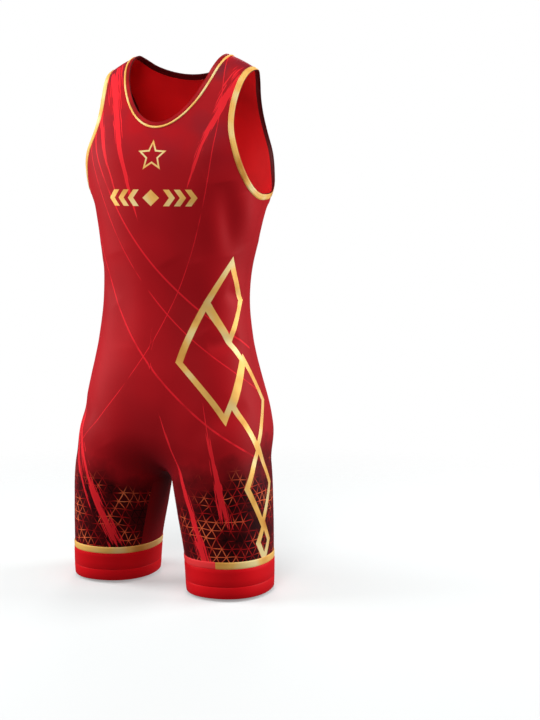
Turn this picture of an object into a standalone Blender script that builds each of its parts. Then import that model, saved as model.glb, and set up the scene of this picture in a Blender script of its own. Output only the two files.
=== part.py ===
"""A wrestling singlet, filled out as if worn: eleven sewn pieces of cloth as thin closed walls."""

from itertools import pairwise

import bpy
import numpy as np

# Frame: metres, +Z up. The wearer faces -Y and +X is the wearer's left.
# The origin lies between the two neck points, under the straps, where the shoulders carry them.
# "down" is a depth below the neck points. "turn" is an angle about the torso or a leg, in radians,
# from its front or its back towards its outer side. "along" is a length from the shoulder line
# down the middle of the front (negative) or of the back (positive).

# Walls and seams
PANEL_WALL = 0.0013
BAND_WALL = 0.0020
BAND_RISE = 0.0004
PIPING_RISE = 0.0009
SEAM_GAP = 0.0003

# Neck and armhole edges
NECK_HALF_WIDTH = 0.0775
NECK_FRONT_DOWN = 0.115
NECK_BACK_DOWN = 0.038
NECK_SQUARENESS = 2.05
NECK_BINDING_WIDTH = 0.0065
PIPING_WIDTH = 0.0027
STRAP_OUTER_X = 0.131
STRAP_FALL = 0.037
STRAP_FALL_POWER = 2.5
STRAP_FALL_END = 0.20
ARMHOLE_DOWN = 0.225
ARMHOLE_TURN = {-1: np.radians(36), 1: np.radians(35.5)}
ARMHOLE_SQUARENESS = {-1: 2.5, 1: 2.8}
ARMHOLE_NARROWING = 1.6
ARMHOLE_INSET_TURN = 6.5
ARMHOLE_BINDING_WIDTH = 0.009

# Legs
CUFF_TOP_DOWN = 0.815
HEM_DOWN = 0.863
STRIPE_WIDTH = 0.0105
STEP_FORWARD = 0.022
STEP_BACK = 0.016
STEP_TOP_DOWN = 0.60
STEP_POWER = 1.5
STEP_SOFTNESS = 0.02

# The filled-out form
TORSO_SQUARENESS = 2.4
LEG_SQUARENESS = 2.2
TORSO_RADIUS = 0.11
LEG_RADIUS = 0.075
BOWL_TOP_DOWN = 0.60
BOWL_HEIGHT = 0.076
LEG_FADE_DOWN = 0.66
LEG_FADE = 1.0
BLEND = 0.028
CROTCH_SOFTNESS = 0.004
HIP_TOP_DOWN = 0.42
HIP_END_DOWN = 0.665
SEAT_PIVOT_DOWN = 0.57
SEAT_REACH = 0.25
ARCH_DROP = 0.03
ARCH_REACH = 0.08
ARCH_LEAST_RADIUS = 0.004
ARCH_MOST_RADIUS = 0.02

# Steps of the walls' sections
COLUMNS = 11
NECK_STEPS = {-1: 13, 1: 9}
ARMHOLE_STEPS = {-1: 17, 1: 17}
CROTCH_STEP = 44
ARCH_STEPS = 4
LEG_STEPS = 10
GUSSET_COLUMNS = 6
CUFF_SEGMENTS = 40
ROW_EASE = 1.7
SAG = 0.007
SAG_ROWS = 8
SAG_POWER = 6
SAMPLES = 500
HALVINGS = 40
RAY_LEAST = 0.1
RAY_MOST = 2.2
NUDGE = 0.0002
TURN_NUDGE = 0.0016
SHARP_ANGLE = np.radians(50)

# Colours
RED = (0.36, 0.012, 0.018)
DARK_RED = (0.13, 0.006, 0.010)
MAROON = (0.10, 0.006, 0.010)
BRIGHT_RED = (0.62, 0.010, 0.012)
GOLD = (0.75, 0.50, 0.15)


def table(columns, *rows):
    """A short table with a name for each column."""
    return dict(zip(columns.split(), np.array(rows).T))


BODY = table(
    "down half_width front back",
    (0.000, 0.168, 0.000, 0.000),
    (0.006, 0.168, -0.028, 0.018),
    (0.022, 0.168, -0.052, 0.034),
    (0.048, 0.167, -0.072, 0.051),
    (0.080, 0.165, -0.090, 0.072),
    (0.115, 0.164, -0.108, 0.091),
    (0.155, 0.165, -0.125, 0.104),
    (0.200, 0.155, -0.132, 0.109),
    (0.250, 0.141, -0.134, 0.103),
    (0.300, 0.1295, -0.132, 0.088),
    (0.350, 0.1215, -0.130, 0.070),
    (0.394, 0.1205, -0.130, 0.059),
    (0.460, 0.128, -0.136, 0.057),
    (0.520, 0.139, -0.146, 0.067),
    (0.580, 0.149, -0.150, 0.078),
    (0.640, 0.158, -0.148, 0.072),
    (0.700, 0.158, -0.145, 0.050),
    (0.863, 0.158, -0.145, 0.050),
)
BODY["middle"] = (BODY["front"] + BODY["back"]) / 2

LEG = table(
    "down across middle half_width half_depth",
    (0.500, 0.070, -0.040, 0.070, 0.095),
    (0.600, 0.0775, -0.050, 0.0735, 0.096),
    (0.670, 0.088, -0.055, 0.0785, 0.093),
    (0.740, 0.0975, -0.056, 0.0755, 0.086),
    (0.811, 0.107, -0.056, 0.070, 0.080),
    (0.863, 0.111, -0.056, 0.068, 0.0775),
)

# Edges of the crotch gusset, fore and aft of each leg's middle
GUSSET = table(
    "down front back",
    (0.655, -0.030, 0.034),
    (0.700, -0.040, 0.048),
    (0.811, -0.0435, 0.0570),
)

# Outer faces of a cuff, which swells a little above and below its sewn groove
CUFF = table(
    "down rise",
    (0.8153, 0.0002),
    (0.8310, 0.0012),
    (0.8440, 0.0004),
    (0.8530, 0.0008),
    (0.8630, 0.0006),
)

# Soft fullness on both sides of the garment. Girth is in degrees from the middle of the front.
FULLNESS = table(
    "girth down radius height",
    (32, 0.165, 0.055, 0.004),
    (148, 0.140, 0.060, 0.004),
    (150, 0.590, 0.060, 0.007),
)

# The largest folds, each from one spot to another. Side 1 is the wearer's left, -1 the right.
FOLDS = table(
    "side girth down end_girth end_down width height",
    (1, 50, 0.215, 74, 0.315, 0.013, -0.0050),
    (1, 66, 0.225, 84, 0.300, 0.015, 0.0040),
    (1, 55, 0.150, 30, 0.190, 0.022, -0.0030),
    (-1, 58, 0.225, 70, 0.300, 0.014, -0.0040),
    (-1, 60, 0.330, 35, 0.400, 0.017, -0.0025),
    (1, 112, 0.240, 120, 0.300, 0.014, -0.0040),
    (1, 143, 0.265, 140, 0.325, 0.014, -0.0035),
    (1, 128, 0.365, 142, 0.400, 0.013, -0.0040),
    (-1, 153, 0.255, 143, 0.315, 0.014, -0.0035),
    (-1, 136, 0.245, 124, 0.305, 0.014, -0.0040),
    (1, 180, 0.180, 180, 0.440, 0.030, -0.0050),
    (1, 192, 0.665, 140, 0.655, 0.017, -0.0040),
    (-1, 192, 0.665, 140, 0.655, 0.017, -0.0040),
    (1, 50, 0.545, 0, 0.625, 0.020, -0.0025),
    (-1, 50, 0.545, 0, 0.625, 0.020, -0.0025),
)
FOLD_PIECES = 4
FOLD_FADE = 0.7


def spline(knots, values, where):
    """A smooth curve through a table's values, with its slopes taken from the rows around."""
    slopes = np.gradient(values, knots)
    where = np.clip(where, knots[0], knots[-1])
    row = np.clip(np.searchsorted(knots, where) - 1, 0, len(knots) - 2)
    span = knots[row + 1] - knots[row]
    t = (where - knots[row]) / span
    start = (2 * t**3 - 3 * t**2 + 1) * values[row] + (t**3 - 2 * t**2 + t) * span * slopes[row]
    end = (3 * t**2 - 2 * t**3) * values[row + 1] + (t**3 - t**2) * span * slopes[row + 1]
    return start + end


def at(sizes, column, down):
    return spline(sizes["down"], sizes[column], down)


def smooth_step(value, low, high):
    t = np.clip((value - low) / (high - low), 0, 1)
    return t * t * (3 - 2 * t)


def mix(first, second, share):
    return first + (second - first) * share


def superellipse(u, v, power):
    return (np.abs(u) ** power + np.abs(v) ** power) ** (1 / power)


def middle_profile():
    """Down the middle of the front, over the shoulders and down the back, by its length."""
    down = np.concatenate((BODY["down"][::-1], BODY["down"][1:]))
    depth = np.concatenate((BODY["front"][::-1], BODY["back"][1:]))
    steps = np.hypot(np.diff(down), np.diff(depth))
    along = np.concatenate(([0], np.cumsum(steps)))
    return along - along[len(BODY["down"]) - 1], down, depth


PROFILE_ALONG, PROFILE_DOWN, PROFILE_DEPTH = middle_profile()


def down_of(along):
    return spline(PROFILE_ALONG, PROFILE_DOWN, along)


def depth_of(along):
    return spline(PROFILE_ALONG, PROFILE_DEPTH, along)


def along_of(face, down):
    """The length down the middle profile of one face (-1 front, 1 back) to a given depth."""
    ends = np.linspace(0, face * np.abs(PROFILE_ALONG[0 if face < 0 else -1]), SAMPLES)
    return np.interp(down, down_of(ends), ends)


def field(x, y, down):
    """Below zero inside the filled-out form and above zero outside it, in metres."""
    middle = at(BODY, "middle", down)
    front = middle - depth_of(along_of(-1, down))
    back = depth_of(along_of(1, down)) - middle
    reach = np.where(y < middle, front, back)
    ring = superellipse(x / at(BODY, "half_width", down), (y - middle) / reach, TORSO_SQUARENESS)
    bowl = np.maximum(down - BOWL_TOP_DOWN, 0) / BOWL_HEIGHT
    torso = TORSO_RADIUS * (superellipse(ring, bowl, TORSO_SQUARENESS) - 1)

    across = np.sqrt(x * x + CROTCH_SOFTNESS**2) - at(LEG, "across", down)
    fore = y - at(LEG, "middle", down)
    ring = superellipse(
        across / at(LEG, "half_width", down), fore / at(LEG, "half_depth", down), LEG_SQUARENESS
    )
    leg = LEG_RADIUS * (ring - 1) + LEG_FADE * np.maximum(LEG_FADE_DOWN - down, 0) ** 2

    overlap = np.maximum(BLEND - np.abs(torso - leg), 0) / BLEND
    return np.minimum(torso, leg) - overlap**2 * BLEND / 4


def crossing(inside, outside, low, high):
    """How far along each ray the form's surface lies, by halving."""
    for _ in range(HALVINGS):
        half = (low + high) / 2
        beyond = field(*inside(half)) * outside > 0
        low, high = np.where(beyond, low, half), np.where(beyond, half, high)
    return (low + high) / 2


def section(along):
    """Centre and half-sizes of the torso's section, which turns into the leg's over the hips."""
    down = down_of(along)
    hip = smooth_step(down, HIP_TOP_DOWN, HIP_END_DOWN)
    torso_middle = at(BODY, "middle", down)
    middle = mix(torso_middle, at(LEG, "middle", down), hip)
    out = at(LEG, "across", down) * hip
    half_width = mix(at(BODY, "half_width", down), at(LEG, "half_width", down), hip)
    face = np.where(along < 0, -1, 1)
    half_depth = mix(depth_of(along) - torso_middle, face * at(LEG, "half_depth", down), hip)
    return out, middle, half_width, half_depth


def form(along, turn):
    """A point of the left half of the garment's outer surface."""
    along, turn = np.broadcast_arrays(np.atleast_1d(along), turn)
    down = down_of(along)
    out, middle, half_width, half_depth = section(along)
    across, fore = half_width * np.sin(turn), half_depth * np.cos(turn)

    length = 1 / superellipse(np.sin(turn), np.cos(turn), TORSO_SQUARENESS)
    low = down > HIP_TOP_DOWN
    far = np.full(across.shape, RAY_MOST)
    np.divide(out, -across, out=far, where=-across * RAY_MOST > out)
    far = far[low]

    def ray(length):
        return out[low] + length * across[low], middle[low] + length * fore[low], down[low]

    length[low] = crossing(ray, 1, far * RAY_LEAST, far)
    x, y = out + length * across, middle + length * fore
    fall = STRAP_FALL * (np.abs(x) / STRAP_OUTER_X) ** STRAP_FALL_POWER
    level = STRAP_FALL * (NECK_HALF_WIDTH / STRAP_OUTER_X) ** STRAP_FALL_POWER
    fade = 1 - smooth_step(down, 0, STRAP_FALL_END)
    return np.stack((x, y, -down - (fall - level) * fade), axis=-1)


def turn_at(along, x):
    """The turn at which the torso's section has a given half-width."""
    share = (x / at(BODY, "half_width", down_of(along))) ** TORSO_SQUARENESS
    return np.arctan((share / (1 - share)) ** (1 / TORSO_SQUARENESS))


def aim(points):
    """Along and turn of points that already lie on the form."""
    x, y, down = points[..., 0], points[..., 1], -points[..., 2]
    middle = section(along_of(1, down))[1]
    along = np.where(y < middle, along_of(-1, down), along_of(1, down))
    out, middle, half_width, half_depth = section(along)
    return along, np.arctan2((x - out) / half_width, (y - middle) / half_depth)


def even(curve, steps):
    """Values from 0 to 1 that split a curve into equal lengths."""
    dense = np.linspace(0, 1, SAMPLES)
    pieces = np.linalg.norm(np.diff(curve(dense), axis=0), axis=1)
    length = np.concatenate(([0], np.cumsum(pieces)))
    return np.interp(np.linspace(0, length[-1], steps + 1), length, dense)


def edge_shares(edge, face, steps):
    """Shares that split an edge's finished line into equal lengths, for all the strips along it."""
    return even(lambda share: form(*edge(face, share, 0)), steps[face])


def neck_edge(face, share, inset):
    """Along and turn on the neck's curve: share 0 is the shoulder, 1 the middle."""
    deep = NECK_FRONT_DOWN if face < 0 else NECK_BACK_DOWN
    bottom = np.abs(along_of(face, deep)) + inset
    angle = share * np.pi / 2
    size = 1 / superellipse(np.sin(angle), np.cos(angle), NECK_SQUARENESS)
    along = face * bottom * size * np.sin(angle)
    x = (NECK_HALF_WIDTH + inset) * size * np.cos(angle)
    return along, turn_at(along, np.maximum(x, 0))


def armhole_edge(face, share, inset):
    """Along and turn on the armhole's curve: share 0 is the shoulder, 1 the side seam."""
    bottom = np.abs(along_of(face, ARMHOLE_DOWN)) + inset
    angle = share * np.pi / 2
    size = 1 / superellipse(np.sin(angle), np.cos(angle), ARMHOLE_SQUARENESS[face])
    along = face * bottom * size * np.sin(angle)
    top = turn_at(np.zeros(1), STRAP_OUTER_X)
    narrow = mix(top, ARMHOLE_TURN[face], np.sin(np.clip(ARMHOLE_NARROWING * share, 0, 1) * np.pi / 2))
    narrow = narrow - inset * ARMHOLE_INSET_TURN
    turn = np.pi / 2 - (np.pi / 2 - narrow) * size * np.cos(angle)
    return along, turn


def crotch_top(y):
    """Depth of the crotch at the middle plane, looking up at it from between the legs."""

    def ray(length):
        return 0 * y, y, CUFF_TOP_DOWN - length

    return CUFF_TOP_DOWN - crossing(ray, -1, 0 * y, 0 * y + CUFF_TOP_DOWN - BOWL_TOP_DOWN)


def inner_leg(y, down):
    """How far the inner side of the leg stands from the middle plane."""

    def ray(length):
        return length, y, down

    return crossing(ray, -1, 0 * y, at(LEG, "across", down))


def gusset_form(fore, step):
    """Points of the strip over the crotch: fore 0 is its front edge, 1 its back edge."""
    fore, step = np.broadcast_arrays(fore, step)

    def edge_y(down):
        return at(LEG, "middle", down) + mix(at(GUSSET, "front", down), at(GUSSET, "back", down), fore)

    y = edge_y(np.full(fore.shape, GUSSET["down"][0]))
    top = crotch_top(y)
    axis = top + np.clip(inner_leg(y, top + ARCH_DROP), ARCH_LEAST_RADIUS, ARCH_MOST_RADIUS)
    arch = np.clip(step / ARCH_STEPS, 0, 1) * np.pi / 2

    def ray(length):
        return length * np.sin(arch), y, axis - length * np.cos(arch)

    radius = crossing(ray, -1, 0 * y, 0 * y + ARCH_REACH)
    x, down = radius * np.sin(arch), axis - radius * np.cos(arch)

    leg = np.clip((step - ARCH_STEPS) / LEG_STEPS, 0, 1)
    low_down = mix(axis, CUFF_TOP_DOWN - STRIPE_WIDTH - SEAM_GAP, leg)
    low_y = edge_y(low_down)
    on_leg = step > ARCH_STEPS
    y = np.where(on_leg, low_y, y)
    down = np.where(on_leg, low_down, down)
    x = np.where(on_leg, inner_leg(low_y, low_down), np.where(step == 0, 0, x))
    return np.stack((x, y, -down), axis=-1)


def middle_line(face, inset):
    """Depths and y of the front's or back's middle, from the neck binding to the gusset."""
    deep = NECK_FRONT_DOWN if face < 0 else NECK_BACK_DOWN
    upper = np.linspace(along_of(face, deep) + face * inset, along_of(face, HIP_TOP_DOWN), SAMPLES)
    end = gusset_form(0.0 if face < 0 else 1.0, np.zeros(1))[0]
    pivot_y = at(LEG, "middle", BOWL_TOP_DOWN)
    first = np.arctan2(HIP_TOP_DOWN - SEAT_PIVOT_DOWN, np.abs(depth_of(upper[-1]) - pivot_y))
    last = np.arctan2(-end[2] - SEAT_PIVOT_DOWN, np.abs(end[1] - pivot_y))
    angle = np.linspace(first, last, SAMPLES)

    def ray(length):
        y = pivot_y + face * length * np.cos(angle)
        return 0 * angle, y, SEAT_PIVOT_DOWN + length * np.sin(angle)

    _, y, down = ray(crossing(ray, 1, 0 * angle, 0 * angle + SEAT_REACH))
    y = np.concatenate((depth_of(upper), y[1:]))
    down = np.concatenate((down_of(upper), down[1:]))
    return lambda share: np.stack(
        [np.interp(share * (len(y) - 1), np.arange(len(y)), values) for values in (0 * y, y, -down)],
        axis=-1,
    )


def panel_ends(face):
    """Along and turn of both ends of each row of the front's or back's left half."""
    inset = NECK_BINDING_WIDTH + PIPING_WIDTH + 2 * SEAM_GAP
    neck = neck_edge(face, edge_shares(neck_edge, face, NECK_STEPS), inset)
    line = middle_line(face, inset)
    steps = CROTCH_STEP - NECK_STEPS[face]
    middle = aim(line(even(line, steps)[1:]))
    seam_steps = np.arange(1.0, ARCH_STEPS + LEG_STEPS + 1)
    seam = aim(gusset_form(0.0 if face < 0 else 1.0, seam_steps))
    inner = [np.concatenate(pieces) for pieces in zip(neck, middle, seam)]

    inset = ARMHOLE_BINDING_WIDTH + SEAM_GAP
    armhole = armhole_edge(face, edge_shares(armhole_edge, face, ARMHOLE_STEPS), inset)
    top = down_of(armhole[0][-1:])[0]
    bottom = CUFF_TOP_DOWN - STRIPE_WIDTH - SEAM_GAP
    steps = CROTCH_STEP + ARCH_STEPS + LEG_STEPS - ARMHOLE_STEPS[face]
    side_down = np.linspace(top, bottom, steps + 1)[1:]
    side = along_of(face, side_down), np.full(steps, np.pi / 2)
    outer = [np.concatenate(pieces) for pieces in zip(armhole, side)]
    return inner, outer


def armhole_sag(face, share):
    """Rows of a panel dip below the armhole, so that they spread out where its edge runs level."""
    row = np.arange(CROTCH_STEP + ARCH_STEPS + LEG_STEPS + 1) - ARMHOLE_STEPS[face]
    depth = np.where(row > 0, np.clip(1 - row / SAG_ROWS, 0, 1), 0.5 ** np.abs(row)) * SAG
    place = share**SAG_POWER * (1 - share)
    return depth[:, None] * place / place.max()


def fold_paths():
    """Each fold's path over the form, as points in the garment's frame."""
    paths = []
    for row in range(len(FOLDS["side"])):
        share = np.linspace(0, 1, FOLD_PIECES + 1)
        girth = mix(FOLDS["girth"][row], FOLDS["end_girth"][row], share)
        down = mix(FOLDS["down"][row], FOLDS["end_down"][row], share)
        paths.append(spot(girth, down) * (FOLDS["side"][row], 1, 1))
    return paths


def spot(girth, down):
    """A point of the form at a girth in degrees from the middle of the front."""
    face = np.where(girth < 90, -1, 1)
    along = np.where(face < 0, along_of(-1, down), along_of(1, down))
    turn = np.radians(np.where(face < 0, girth, 180 - girth))
    return form(along, turn)


FOLD_PATHS = fold_paths()
FULL_SPOTS = spot(FULLNESS["girth"], FULLNESS["down"])


def relief(points):
    """How far the cloth stands out from the plain form: soft fullness, troughs and ridges."""
    amount = np.zeros(points.shape[:-1])
    for centre, radius, height in zip(FULL_SPOTS, FULLNESS["radius"], FULLNESS["height"]):
        for side in (1, -1):
            away = np.linalg.norm(points - centre * (side, 1, 1), axis=-1)
            amount += height * np.exp(-((away / radius) ** 2))
    for path, width, height in zip(FOLD_PATHS, FOLDS["width"], FOLDS["height"]):
        best, place = np.full(amount.shape, np.inf), np.zeros(amount.shape)
        for step, (start, end) in enumerate(pairwise(path)):
            run = end - start
            share = np.clip((points - start) @ run / (run @ run), 0, 1)
            away = np.linalg.norm(points - start - share[..., None] * run, axis=-1)
            place = np.where(away < best, (step + share) / FOLD_PIECES, place)
            best = np.minimum(away, best)
        amount += height * np.exp(-((best / width) ** 2)) * np.sin(np.pi * place) ** FOLD_FADE
    return amount


def stance(points):
    """The left leg stands a little forward and the right leg a little back."""
    left = (1 + np.tanh(points[..., 0] / STEP_SOFTNESS)) / 2
    reach = np.clip((-points[..., 2] - STEP_TOP_DOWN) / (HEM_DOWN - STEP_TOP_DOWN), 0, 1)
    moved = points.copy()
    moved[..., 1] += mix(STEP_BACK, -STEP_FORWARD, left) * reach**STEP_POWER
    return moved


def unit(vectors):
    return vectors / np.linalg.norm(vectors, axis=-1, keepdims=True)


def form_normal(along, turn):
    """Outward direction of the form's surface."""
    over = form(along + NUDGE, turn) - form(along - NUDGE, turn)
    around = form(along, turn + TURN_NUDGE) - form(along, turn - TURN_NUDGE)
    return unit(np.cross(around, over))


def field_normal(points):
    """Outward direction from the field itself, for the gusset's points."""
    x, y, down = points[..., 0], points[..., 1], -points[..., 2]
    slope = [
        field(x + NUDGE, y, down) - field(x - NUDGE, y, down),
        field(x, y + NUDGE, down) - field(x, y - NUDGE, down),
        field(x, y, down - NUDGE) - field(x, y, down + NUDGE),
    ]
    return unit(np.stack(slope, axis=-1))


def set_on_middle(points, normals, place):
    """Bring a line of points and its normals exactly into the middle plane, where halves meet."""
    points[place][..., 0] = 0
    normals[place][..., 0] = 0


def draw_back(grid, rows=(), columns=()):
    """Leave half a seam gap at the named rows and columns of a grid's border."""
    grid = grid.copy()
    for line in rows:
        inward = grid[1 if line == 0 else -2] - grid[line]
        grid[line] += unit(inward) * SEAM_GAP / 2
    for line in columns:
        inward = grid[:, 1 if line == 0 else -2] - grid[:, line]
        grid[:, line] += unit(inward) * SEAM_GAP / 2
    return grid


def layers(points, normals, side, rise, thickness):
    """The outer and inner points of a wall on one side of the garment."""
    points, normals = points * (side, 1, 1), normals * (side, 1, 1)
    skin = points + normals * (relief(points) + rise)[..., None]
    return stance(skin), stance(skin - normals * thickness)


def cloth_material(name, colour, roughness):
    material = bpy.data.materials.new(name)
    material.use_nodes = True
    shader = material.node_tree.nodes["Principled BSDF"]
    shader.inputs["Base Color"].default_value = (*colour, 1)
    shader.inputs["Roughness"].default_value = roughness
    material.diffuse_color = (*colour, 1)
    return material


def wall(name, patches, colour, roughness):
    """One closed body from patches of outer and inner points, welded where they meet."""
    index, outside, inside, faces = {}, [], [], []
    for outer, inner in patches:
        ids = np.empty(outer.shape[:2], dtype=int)
        for place in np.ndindex(ids.shape):
            key = tuple(np.round(outer[place], 6))
            if key not in index:
                index[key] = len(outside)
                outside.append(outer[place])
                inside.append(inner[place])
            ids[place] = index[key]
        cells = np.stack((ids[:-1, :-1], ids[:-1, 1:], ids[1:, 1:], ids[1:, :-1]), axis=-1)
        across = np.cross(outer[0, 1] - outer[0, 0], outer[1, 0] - outer[0, 0])
        cells = cells.reshape(-1, 4)
        faces += (cells if across @ (outer[0, 0] - inner[0, 0]) > 0 else cells[:, ::-1]).tolist()

    count = len(outside)
    edges = {(a, b) for face in faces for a, b in zip(face, face[1:] + face[:1])}
    rims = [(b, a, a + count, b + count) for a, b in edges if (b, a) not in edges]
    backs = [[corner + count for corner in reversed(face)] for face in faces]
    mesh = bpy.data.meshes.new(name)
    mesh.from_pydata(outside + inside, [], faces + backs + sorted(rims))
    mesh.validate()
    mesh.shade_smooth()
    mesh.set_sharp_from_angle(angle=SHARP_ANGLE)
    mesh.materials.append(cloth_material(name, colour, roughness))
    bpy.context.collection.objects.link(bpy.data.objects.new(name, mesh))


def panel(name, face):
    """The front or the back: both halves of the torso and both legs in one piece."""
    inner, outer = panel_ends(face)
    share = np.linspace(0, 1, COLUMNS + 1)
    level = 1 - (1 - share) ** ROW_EASE
    along = mix(inner[0][:, None], outer[0][:, None], level) + face * armhole_sag(face, share)
    turn = mix(inner[1][:, None], outer[1][:, None], share)
    points, normals = form(along, turn), form_normal(along, turn)
    set_on_middle(points, normals, (slice(NECK_STEPS[face], CROTCH_STEP + 1), 0))
    points[CROTCH_STEP + 1 :] = draw_back(points[CROTCH_STEP + 1 :], columns=(0,))
    points[CROTCH_STEP, 0] += unit(points[CROTCH_STEP - 1, 0] - points[CROTCH_STEP, 0]) * SEAM_GAP / 2
    points = draw_back(points, rows=(0,), columns=(-1,))
    patches = [layers(points, normals, side, 0, PANEL_WALL) for side in (1, -1)]
    wall(name, patches, RED, 0.45)


def crotch_gusset():
    """The strip that runs down the inside of both legs and over the crotch between them."""
    step = np.arange(0.0, ARCH_STEPS + LEG_STEPS + 1)[:, None]
    points = gusset_form(np.linspace(0, 1, GUSSET_COLUMNS + 1), step)
    normals = field_normal(points)
    points = draw_back(points, columns=(0, -1))
    set_on_middle(points, normals, (0, slice(None)))
    patches = [layers(points, normals, side, 0, PANEL_WALL) for side in (1, -1)]
    wall("crotch_gusset", patches, DARK_RED, 0.5)


def edge_strip(name, edge, steps, insets, rises, sides, colour):
    """A narrow strip along an edge that runs over the shoulder from the front to the back."""
    along, turn = [], []
    for face in (-1, 1):
        share = edge_shares(edge, face, steps)
        share = share[::-1] if face < 0 else share[1:]
        ends = [edge(face, share, inset) for inset in insets]
        along.append(np.stack([end[0] for end in ends], axis=-1))
        turn.append(np.stack([end[1] for end in ends], axis=-1))
    along, turn = np.concatenate(along), np.concatenate(turn)
    points, normals = form(along, turn), form_normal(along, turn)
    if len(sides) == 2:
        set_on_middle(points, normals, 0)
        set_on_middle(points, normals, -1)
    else:
        points[-1], normals[-1] = points[0], normals[0]
    patches = [layers(points, normals, side, rises, BAND_WALL) for side in sides]
    wall(name, patches, colour, 0.35)


def leg_band(name, side, downs, rises, colour):
    """A ring around one leg."""
    downs, rises = np.reshape(downs, (-1, 1)), np.reshape(rises, (-1, 1))
    angle = np.linspace(0, 2 * np.pi, CUFF_SEGMENTS + 1)
    front = np.cos(angle) > 0
    along = np.where(front, along_of(-1, downs), along_of(1, downs))
    turn = np.arctan2(np.sin(angle), np.abs(np.cos(angle)))
    points, normals = form(along, turn), form_normal(along, turn)
    points[:, -1], normals[:, -1] = points[:, 0], normals[:, 0]
    wall(name, [layers(points, normals, side, rises, BAND_WALL)], colour, 0.4)


def neck_binding():
    insets = np.array((0, 0.5, 1)) * NECK_BINDING_WIDTH
    edge_strip("neck_binding", neck_edge, NECK_STEPS, insets, BAND_RISE, (1, -1), MAROON)


def neck_piping():
    """The gold cord-like strip sewn in between the neck binding and the panels."""
    insets = NECK_BINDING_WIDTH + SEAM_GAP + np.array((0, 0.5, 1)) * PIPING_WIDTH
    rises = np.array((BAND_RISE, PIPING_RISE, BAND_RISE))
    edge_strip("neck_piping", neck_edge, NECK_STEPS, insets, rises, (1, -1), GOLD)


def armhole_binding(side, word):
    insets = np.array((0, 0.5, 1)) * ARMHOLE_BINDING_WIDTH
    name = f"armhole_binding_{word}"
    edge_strip(name, armhole_edge, ARMHOLE_STEPS, insets, BAND_RISE, (side,), GOLD)


def cuff_stripe(side, word):
    downs = CUFF_TOP_DOWN - STRIPE_WIDTH, CUFF_TOP_DOWN
    leg_band(f"cuff_stripe_{word}", side, downs, (BAND_RISE, BAND_RISE), GOLD)


def cuff(side, word):
    leg_band(f"cuff_{word}", side, CUFF["down"], CUFF["rise"], BRIGHT_RED)


for old in list(bpy.data.objects):
    bpy.data.objects.remove(old)

panel("front_panel", -1)
panel("back_panel", 1)
crotch_gusset()
neck_binding()
neck_piping()
for side, word in ((1, "left"), (-1, "right")):
    armhole_binding(side, word)
    cuff_stripe(side, word)
    cuff(side, word)
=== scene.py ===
# %% [markdown]
# # A wrestling singlet in printed red knit with gold trim
#
# The real garment is cut from thin stretch knit: a front, a back and a strip over the crotch.
# Folded tape binds the neck and the armholes, and each leg ends in a gold stripe and a wide cuff.
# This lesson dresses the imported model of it, one piece or one finish to a cell. All lengths are in
# metres. The wearer faces -Y, +X is the wearer's left, and the shoulders carry it at the origin.

from functools import cache
from itertools import pairwise

import bpy
import numpy as np
from mathutils import Matrix, Vector


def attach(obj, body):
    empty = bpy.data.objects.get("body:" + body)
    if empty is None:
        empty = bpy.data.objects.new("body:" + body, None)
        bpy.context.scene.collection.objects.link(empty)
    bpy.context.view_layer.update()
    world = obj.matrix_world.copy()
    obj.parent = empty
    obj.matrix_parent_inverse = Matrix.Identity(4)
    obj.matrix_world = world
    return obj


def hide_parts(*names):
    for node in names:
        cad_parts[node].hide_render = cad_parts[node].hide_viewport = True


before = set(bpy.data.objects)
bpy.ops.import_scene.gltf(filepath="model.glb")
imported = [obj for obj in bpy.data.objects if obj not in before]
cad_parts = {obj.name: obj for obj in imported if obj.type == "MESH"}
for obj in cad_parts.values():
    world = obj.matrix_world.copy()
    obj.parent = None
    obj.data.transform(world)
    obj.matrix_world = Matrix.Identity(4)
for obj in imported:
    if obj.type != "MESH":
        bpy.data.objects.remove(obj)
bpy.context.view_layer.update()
print("CAD nodes:", sorted(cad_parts))

# %% [markdown]
# ## The camera
#
# The garment is seen from the wearer's left front, a little from above, and stands left of the
# picture's middle. A long lens keeps its legs as straight as they look in life.

# %% Place the camera
VIEW_AZIMUTH = np.radians(24)
VIEW_DISTANCE = 2.58
VIEW_DOWN = 0.17
VIEW_PITCH = np.radians(7.3)
VIEW_YAW = np.radians(3.37)
LENS_MM = 78.15
BODY_AXIS_Y = -0.03

level = Vector((-np.sin(VIEW_AZIMUTH), np.cos(VIEW_AZIMUTH), 0))
sideways = Vector((np.cos(VIEW_AZIMUTH), np.sin(VIEW_AZIMUTH), 0))
upright = Vector((0, 0, 1))
ahead = level * np.cos(VIEW_YAW) + sideways * np.sin(VIEW_YAW)
right = sideways * np.cos(VIEW_YAW) - level * np.sin(VIEW_YAW)
looking = ahead * np.cos(VIEW_PITCH) - upright * np.sin(VIEW_PITCH)
above = upright * np.cos(VIEW_PITCH) + ahead * np.sin(VIEW_PITCH)
eye = Vector((0, BODY_AXIS_Y, -VIEW_DOWN)) - level * VIEW_DISTANCE

camera = bpy.data.objects.new("camera", bpy.data.cameras.new("camera"))
camera.data.lens = LENS_MM
camera.matrix_world = Matrix.Translation(eye) @ Matrix((right, above, -looking)).transposed().to_4x4()
bpy.context.collection.objects.link(camera)
bpy.context.scene.camera = camera
print("camera at", [round(c, 3) for c in eye])

# %% [markdown]
# ## The worn form
#
# Stretch knit takes the shape of what fills it, so one smooth form carries every piece. A few
# sections of the torso and of a leg say how wide and how deep the form is at each depth below the
# neck points. Smooth curves run through them, and a soft blend joins the legs to the torso.

# %% Sections of the torso and the legs
def table(columns, *rows):
    """A short table with a name for each column."""
    return dict(zip(columns.split(), np.array(rows).T))


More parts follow.
